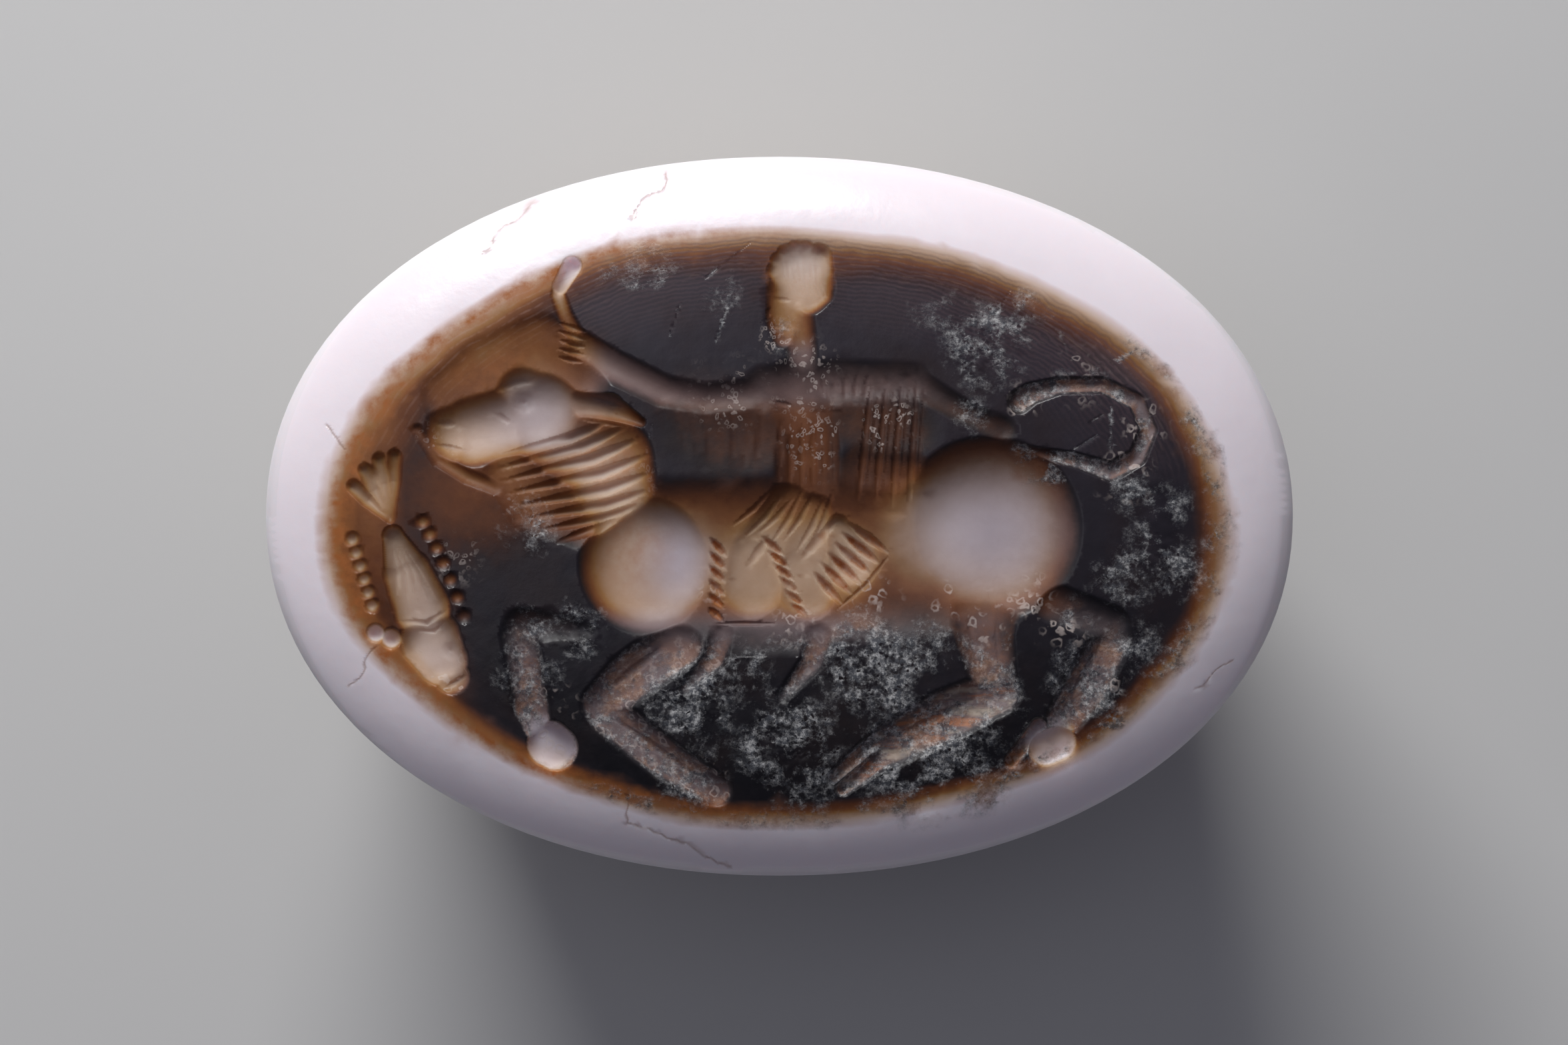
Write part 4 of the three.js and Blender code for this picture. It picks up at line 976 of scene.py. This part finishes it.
class Nodes:
    """Small helpers to write a material's nodes in order."""

    def __init__(self, name):
        self.material = bpy.data.materials.new(name)
        self.material.use_nodes = True
        self.tree = self.material.node_tree
        self.shader = self.tree.nodes["Principled BSDF"]

    def add(self, kind, **values):
        node = self.tree.nodes.new(kind)
        for name, value in values.items():
            setattr(node, name, value)
        return node

    def feed(self, socket, value):
        if isinstance(value, bpy.types.NodeSocket):
            self.tree.links.new(value, socket)
        else:
            socket.default_value = value

    def attribute(self, name):
        return self.add("ShaderNodeAttribute", attribute_name=name).outputs["Fac"]

    def math(self, operation, a, b=0.0, c=0.0):
        node = self.add("ShaderNodeMath", operation=operation)
        for socket, value in zip(node.inputs, (a, b, c)):
            self.feed(socket, value)
        return node.outputs[0]

    def times(self, value, *others):
        for other in others:
            value = self.math("MULTIPLY", value, other)
        return value

    def plus(self, value, other):
        return self.math("ADD", value, other)

    def ramp(self, value, stops):
        node = self.add("ShaderNodeValToRGB")
        elements = node.color_ramp.elements
        while len(elements) < len(stops):
            elements.new(0.5)
        for element, (place, code) in zip(elements, stops):
            element.position = place
            element.color = linear(code)
        self.feed(node.inputs[0], value)
        return node.outputs["Color"]

    def mix(self, share, a, b):
        node = self.add("ShaderNodeMix", data_type="RGBA")
        self.feed(node.inputs[0], share)
        self.feed(node.inputs[6], a)
        self.feed(node.inputs[7], b)
        return node.outputs[2]

    def span(self, value, low, high, to_low=0.0, to_high=1.0):
        node = self.add("ShaderNodeMapRange")
        for socket, number in zip(node.inputs, (value, low, high, to_low, to_high)):
            self.feed(socket, number)
        return node.outputs[0]

    def noise(self, place, scale, detail=4.0, roughness=0.55):
        node = self.add("ShaderNodeTexNoise")
        values = {"Vector": place, "Scale": scale, "Detail": detail, "Roughness": roughness}
        for name, value in values.items():
            self.feed(node.inputs[name], value)
        return node.outputs["Fac"]

    def noise_colour(self, place, scale):
        node = self.add("ShaderNodeTexNoise")
        self.feed(node.inputs["Vector"], place)
        self.feed(node.inputs["Scale"], scale)
        return node.outputs["Color"]

    def cells(self, place, scale):
        node = self.add("ShaderNodeTexVoronoi", feature="F1")
        self.feed(node.inputs["Vector"], place)
        self.feed(node.inputs["Scale"], scale)
        return node.outputs["Distance"]


# The stone's layers, from the polished face down, in millimetres of cut depth. The rim lies past them all.
LAYERS_SHOWN = 1.6
WARM_LAYERS = [
    (0.0, "#110f14"), (0.07, "#20181a"), (0.16, "#42251a"), (0.26, "#623820"), (0.36, "#80512d"),
    (0.46, "#987047"),
    (0.58, "#ad8e73"), (0.72, "#c2a690"), (0.9, "#d2bdb1"), (1.15, "#dfcfce"), (1.35, "#efe6eb"),
]
COLD_LAYERS = [
    (0.0, "#110f13"), (0.08, "#232025"), (0.18, "#443b3d"), (0.3, "#6b5b5c"), (0.42, "#7d6d6e"),
    (0.52, "#998b8e"),
    (0.66, "#b0a4aa"), (0.85, "#c0b5bc"), (1.1, "#d4cad0"), (1.35, "#eee6eb"),
]


# The back's layer number is past this, and the face's are not
DEEPEST_LAYER = 1.95
# The bands of the back, from the foot up, as shares of this height
BANDS_SHOWN = 8.0
BACK_BANDS = [
    (0.0, "#8d6a4c"), (0.16, "#a98a6c"), (0.28, "#c9bcb0"), (0.4, "#9a7c60"), (0.48, "#cfc6c0"),
    (0.62, "#dcd6da"), (0.8, "#e4dee2"), (1.0, "#eae3e7"),
]


def stone_material():
    n = Nodes("layered_agate")
    place = n.add("ShaderNodeTexCoord").outputs["Object"]
    scaled = n.add("ShaderNodeVectorMath", operation="SCALE")
    n.feed(scaled.inputs[0], place)
    scaled.inputs["Scale"].default_value = 1 / MM
    place = scaled.outputs[0]
    axes = n.add("ShaderNodeSeparateXYZ")
    n.feed(axes.inputs[0], place)
    along_x, along_y = axes.outputs["X"], axes.outputs["Y"]

    # The layers, wavering a little
    cloud = n.noise(place, 0.9, 5.0)
    fine = n.noise(place, 5.0, 4.0)
    layer = n.attribute("layer")
    waver = n.math("MULTIPLY_ADD", n.math("SUBTRACT", cloud, 0.5), 0.14, layer)
    waver = n.math("MULTIPLY_ADD", n.math("SUBTRACT", fine, 0.5), 0.08, waver)
    depth = n.math("DIVIDE", waver, LAYERS_SHOWN)
    warm = n.ramp(depth, [(place_mm / LAYERS_SHOWN, code) for place_mm, code in WARM_LAYERS])
    cold = n.ramp(depth, [(place_mm / LAYERS_SHOWN, code) for place_mm, code in COLD_LAYERS])
    colour = n.mix(n.attribute("cold"), warm, cold)
    # Painted sheen: the uncut dark field is painted a lighter purple-grey towards its upper part, standing
    # in for the reflection of the light there
    uncut = n.span(n.attribute("matt"), 1.0, 0.0)
    painted_sheen = n.span(n.plus(along_y, n.times(cloud, 3.0)), -2.5, 5.0)
    painted_sheen = n.times(painted_sheen, n.times(n.span(waver, 0.16, 0.02), uncut))
    colour = n.mix(n.times(painted_sheen, 0.85), colour, linear("#332e36"))
    # Brown smoke in the dark layer
    smoke = n.times(n.span(n.noise(place, 0.7, 6.0, 0.6), 0.45, 0.7), n.span(waver, 0.25, 0.1))
    colour = n.mix(n.times(smoke, 0.4), colour, linear("#2c1e1a"))
    mottled = n.span(n.noise(place, 3.0, 6.0, 0.65), 0.36, 0.6, 0.2, 1.0)
    colour = n.mix(n.times(n.attribute("amber"), mottled), colour, linear("#a26436"))

    # The back: milky white with soft bands that follow the layers
    height = n.math("MULTIPLY_ADD", n.math("SUBTRACT", cloud, 0.5), 1.2, axes.outputs["Z"])
    back = n.ramp(n.math("DIVIDE", height, BANDS_SHOWN), BACK_BANDS)
    colour = n.mix(n.math("GREATER_THAN", layer, DEEPEST_LAYER), colour, back)

    # Hair cracks
    colour = n.mix(n.times(n.attribute("crack"), 0.5), colour, linear("#8a5c3a"))
    # Fine growth lines near the ring
    field = n.attribute("field")
    ripples = n.math("SINE", n.math("MULTIPLY_ADD", field, 330.0, n.times(cloud, 14.0)))
    near_ring = n.times(n.span(field, 0.8, 0.95), n.span(field, 1.0, 0.97))
    near_ring = n.times(near_ring, n.span(along_y, 0.5, 3.0))
    ripples = n.times(n.times(n.span(ripples, 0.3, 1.0), near_ring), n.span(fine, 0.4, 0.6))
    colour = n.mix(n.times(ripples, 0.22), colour, linear("#b59a90"))
    # A mauve band with fine dark waves between the ring and the upper field
    band = n.times(n.span(field, 0.66, 0.9), n.span(field, 0.985, 0.95))
    band = n.times(band, n.times(n.span(along_y, 0.5, 2.5), uncut))
    band = n.times(band, n.span(along_x, -4.3, -3.2))
    bent_field = n.math("MULTIPLY_ADD", n.noise(place, 1.3, 6.0, 0.6), 0.06, field)
    waves = n.span(n.math("SINE", n.times(bent_field, 420.0)), -0.6, 0.9)
    colour = n.mix(n.times(band, n.math("MULTIPLY_ADD", waves, 0.35, 0.2)), colour, linear("#5a474b"))
    # Small crystals with pale outlines, smaller still on the dress
    bent = n.add("ShaderNodeVectorMath", operation="MULTIPLY_ADD")
    n.feed(bent.inputs[0], n.noise_colour(place, 5.0))
    bent.inputs[1].default_value = (0.22, 0.22, 0.22)
    n.feed(bent.inputs[2], place)
    large = n.cells(bent.outputs[0], 4.6)
    large = n.span(n.math("ABSOLUTE", n.math("SUBTRACT", large, 0.32)), 0.13, 0.04)
    small = n.cells(bent.outputs[0], 8.5)
    small = n.span(n.math("ABSOLUTE", n.math("SUBTRACT", small, 0.28)), 0.15, 0.05)
    on_dress = n.times(n.span(along_y, -1.1, -0.8), n.span(along_x, 3.4, 3.0))
    rings = n.plus(n.times(small, on_dress), n.times(large, n.math("SUBTRACT", 1.0, on_dress)))
    rings = n.times(rings, n.attribute("beads"))
    rings = n.times(rings, n.span(n.noise(place, 2.2, 3.0), 0.42, 0.56))
    colour = n.mix(n.times(rings, 0.55), colour, linear("#cbbdb6"))
    # Worm-eaten pale crust, with black pits in it
    crusty = n.attribute("crust")
    ragged = n.span(n.noise(place, 1.6, 6.0, 0.7), 0.42, 0.6)
    crumbly = n.span(n.noise(place, 5.0, 9.0, 0.75), 0.38, 0.62)
    holes = n.span(n.cells(bent.outputs[0], 7.0), 0.14, 0.26)
    patchy = n.times(n.times(crusty, ragged), n.times(crumbly, holes))
    patchy = n.span(patchy, 0.03, 0.4)
    specks = n.span(n.noise(place, 9.0, 7.0, 0.8), 0.46, 0.62)
    crumbs = n.mix(specks, linear("#45474d"), linear("#cac9c8"))
    rust = n.times(n.span(n.noise(place, 1.9, 6.0, 0.7), 0.47, 0.58), n.span(waver, 0.14, 0.26))
    rust = n.times(rust, n.span(crusty, 0.1, 0.6))
    colour = n.mix(n.times(rust, 0.4), colour, linear("#8d6148"))
    crumbs = n.mix(n.times(rust, 0.6), crumbs, linear("#a5795c"))
    # Streaks of cream and rust along the near hind leg
    along_leg = n.add("ShaderNodeMapping")
    n.feed(along_leg.inputs["Vector"], place)
    along_leg.inputs["Rotation"].default_value = (0, 0, math.radians(-26))
    along_leg.inputs["Scale"].default_value = (0.5, 2.6, 1.0)
    streaks = n.noise(along_leg.outputs[0], 1.6, 5.0, 0.6)
    on_leg = n.times(n.span(along_x, 0.5, 1.4), n.span(along_x, 4.6, 4.2))
    on_leg = n.times(on_leg, n.times(n.span(along_y, -2.6, -3.0), n.span(waver, 0.14, 0.26)))
    on_leg = n.times(on_leg, n.times(n.span(crusty, 0.3, 0.6), n.attribute("matt")))
    cream = n.times(on_leg, n.span(streaks, 0.5, 0.62, 0.0, 0.7))
    colour = n.mix(cream, colour, linear("#a99c8c"))
    rusty = n.times(on_leg, n.span(streaks, 0.46, 0.38, 0.0, 0.7))
    colour = n.mix(rusty, colour, linear("#a8693f"))
    colour = n.mix(n.times(patchy, 0.8), colour, crumbs)

    n.feed(n.shader.inputs["Base Color"], colour)
    rough = n.span(n.attribute("matt"), 0.0, 1.0, 0.3, 0.55)
    n.feed(n.shader.inputs["Roughness"], n.math("MAXIMUM", rough, n.times(patchy, 0.75)))
    gloss = n.plus(n.span(waver, 0.04, 0.25, 0.32, 0.25), n.span(waver, 1.15, 1.4, 0.0, 0.25))
    n.feed(n.shader.inputs["Specular IOR Level"], gloss)
    n.feed(n.shader.inputs["Subsurface Weight"], n.span(waver, 0.1, 0.45, 0.0, 0.9))
    n.shader.inputs["Subsurface Radius"].default_value = (1.0, 0.85, 0.8)
    n.shader.inputs["Subsurface Scale"].default_value = 0.0006
    n.shader.inputs["IOR"].default_value = 1.54
    bump = n.add("ShaderNodeBump")
    bump.inputs["Strength"].default_value = 0.3
    bump.inputs["Distance"].default_value = 0.00002
    relief = n.plus(n.math("MULTIPLY_ADD", patchy, 2.0, fine), n.times(rings, 0.8))
    n.feed(bump.inputs["Height"], relief)
    n.feed(n.shader.inputs["Normal"], bump.outputs[0])
    return n.material


def floor_material():
    n = Nodes("pale_floor")
    place = n.add("ShaderNodeTexCoord").outputs["Object"]
    grain_share = n.noise(place, 60.0, 3.0)
    n.feed(n.shader.inputs["Base Color"], n.mix(grain_share, linear("#c9c8c6"), linear("#cfcecc")))
    n.shader.inputs["Roughness"].default_value = 0.6
    return n.material


def area_light(name, place, size, power, colour=(1, 1, 1)):
    """A soft light at a place in metres, turned to the stone."""
    data = bpy.data.lights.new(name, "AREA")
    data.shape = "RECTANGLE"
    data.size, data.size_y = size
    data.energy = power
    data.color = colour
    light = bpy.data.objects.new(name, data)
    light.location = place
    light.rotation_euler = (Vector((0, 0, 0.008)) - Vector(place)).to_track_quat("-Z", "Y").to_euler()
    bpy.context.scene.collection.objects.link(light)
    return light


# The stone
stone = make_object("engraved_stone", *stone_mesh())
carve(stone, cutters())
paint(stone)
stone.data.materials.clear()
stone.data.materials.append(stone_material())
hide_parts("seal_stone")
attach(stone, "root")

# Floor, light and camera
bpy.ops.mesh.primitive_plane_add(size=0.6, location=(0, 0, 0))
floor = bpy.context.object
floor.name = "floor"
floor.data.materials.append(floor_material())

area_light("key", (-0.038, 0.133, 0.090), (0.09, 0.06), 0.30)
area_light("fill", (-0.05, 0.03, 0.16), (0.10, 0.10), 0.02, (0.93, 0.95, 1.0))

world = bpy.data.worlds.new("studio")
world.use_nodes = True
world.node_tree.nodes["Background"].inputs["Color"].default_value = (0.76, 0.78, 1.0, 1)
world.node_tree.nodes["Background"].inputs["Strength"].default_value = 0.118
bpy.context.scene.world = world

# The camera looks straight down, at the photograph's scale
IMAGE_WIDTH = 2353
PIXELS_PER_MM = 85.6
LENS = 100.0
SENSOR = 36.0
picture_width = IMAGE_WIDTH / PIXELS_PER_MM * MM
distance = picture_width * LENS / SENSOR
camera_data = bpy.data.cameras.new("camera")
camera_data.lens = LENS
camera_data.sensor_width = SENSOR
camera_data.clip_start = 0.005
camera_data.clip_end = 2.0
camera_data.dof.use_dof = False
camera = bpy.data.objects.new("camera", camera_data)
camera.location = (0.08 * MM, -0.11 * MM, EDGE_HEIGHT * MM + distance)
bpy.context.scene.collection.objects.link(camera)
bpy.context.scene.camera = camera
bpy.context.scene.view_settings.view_transform = "Standard"
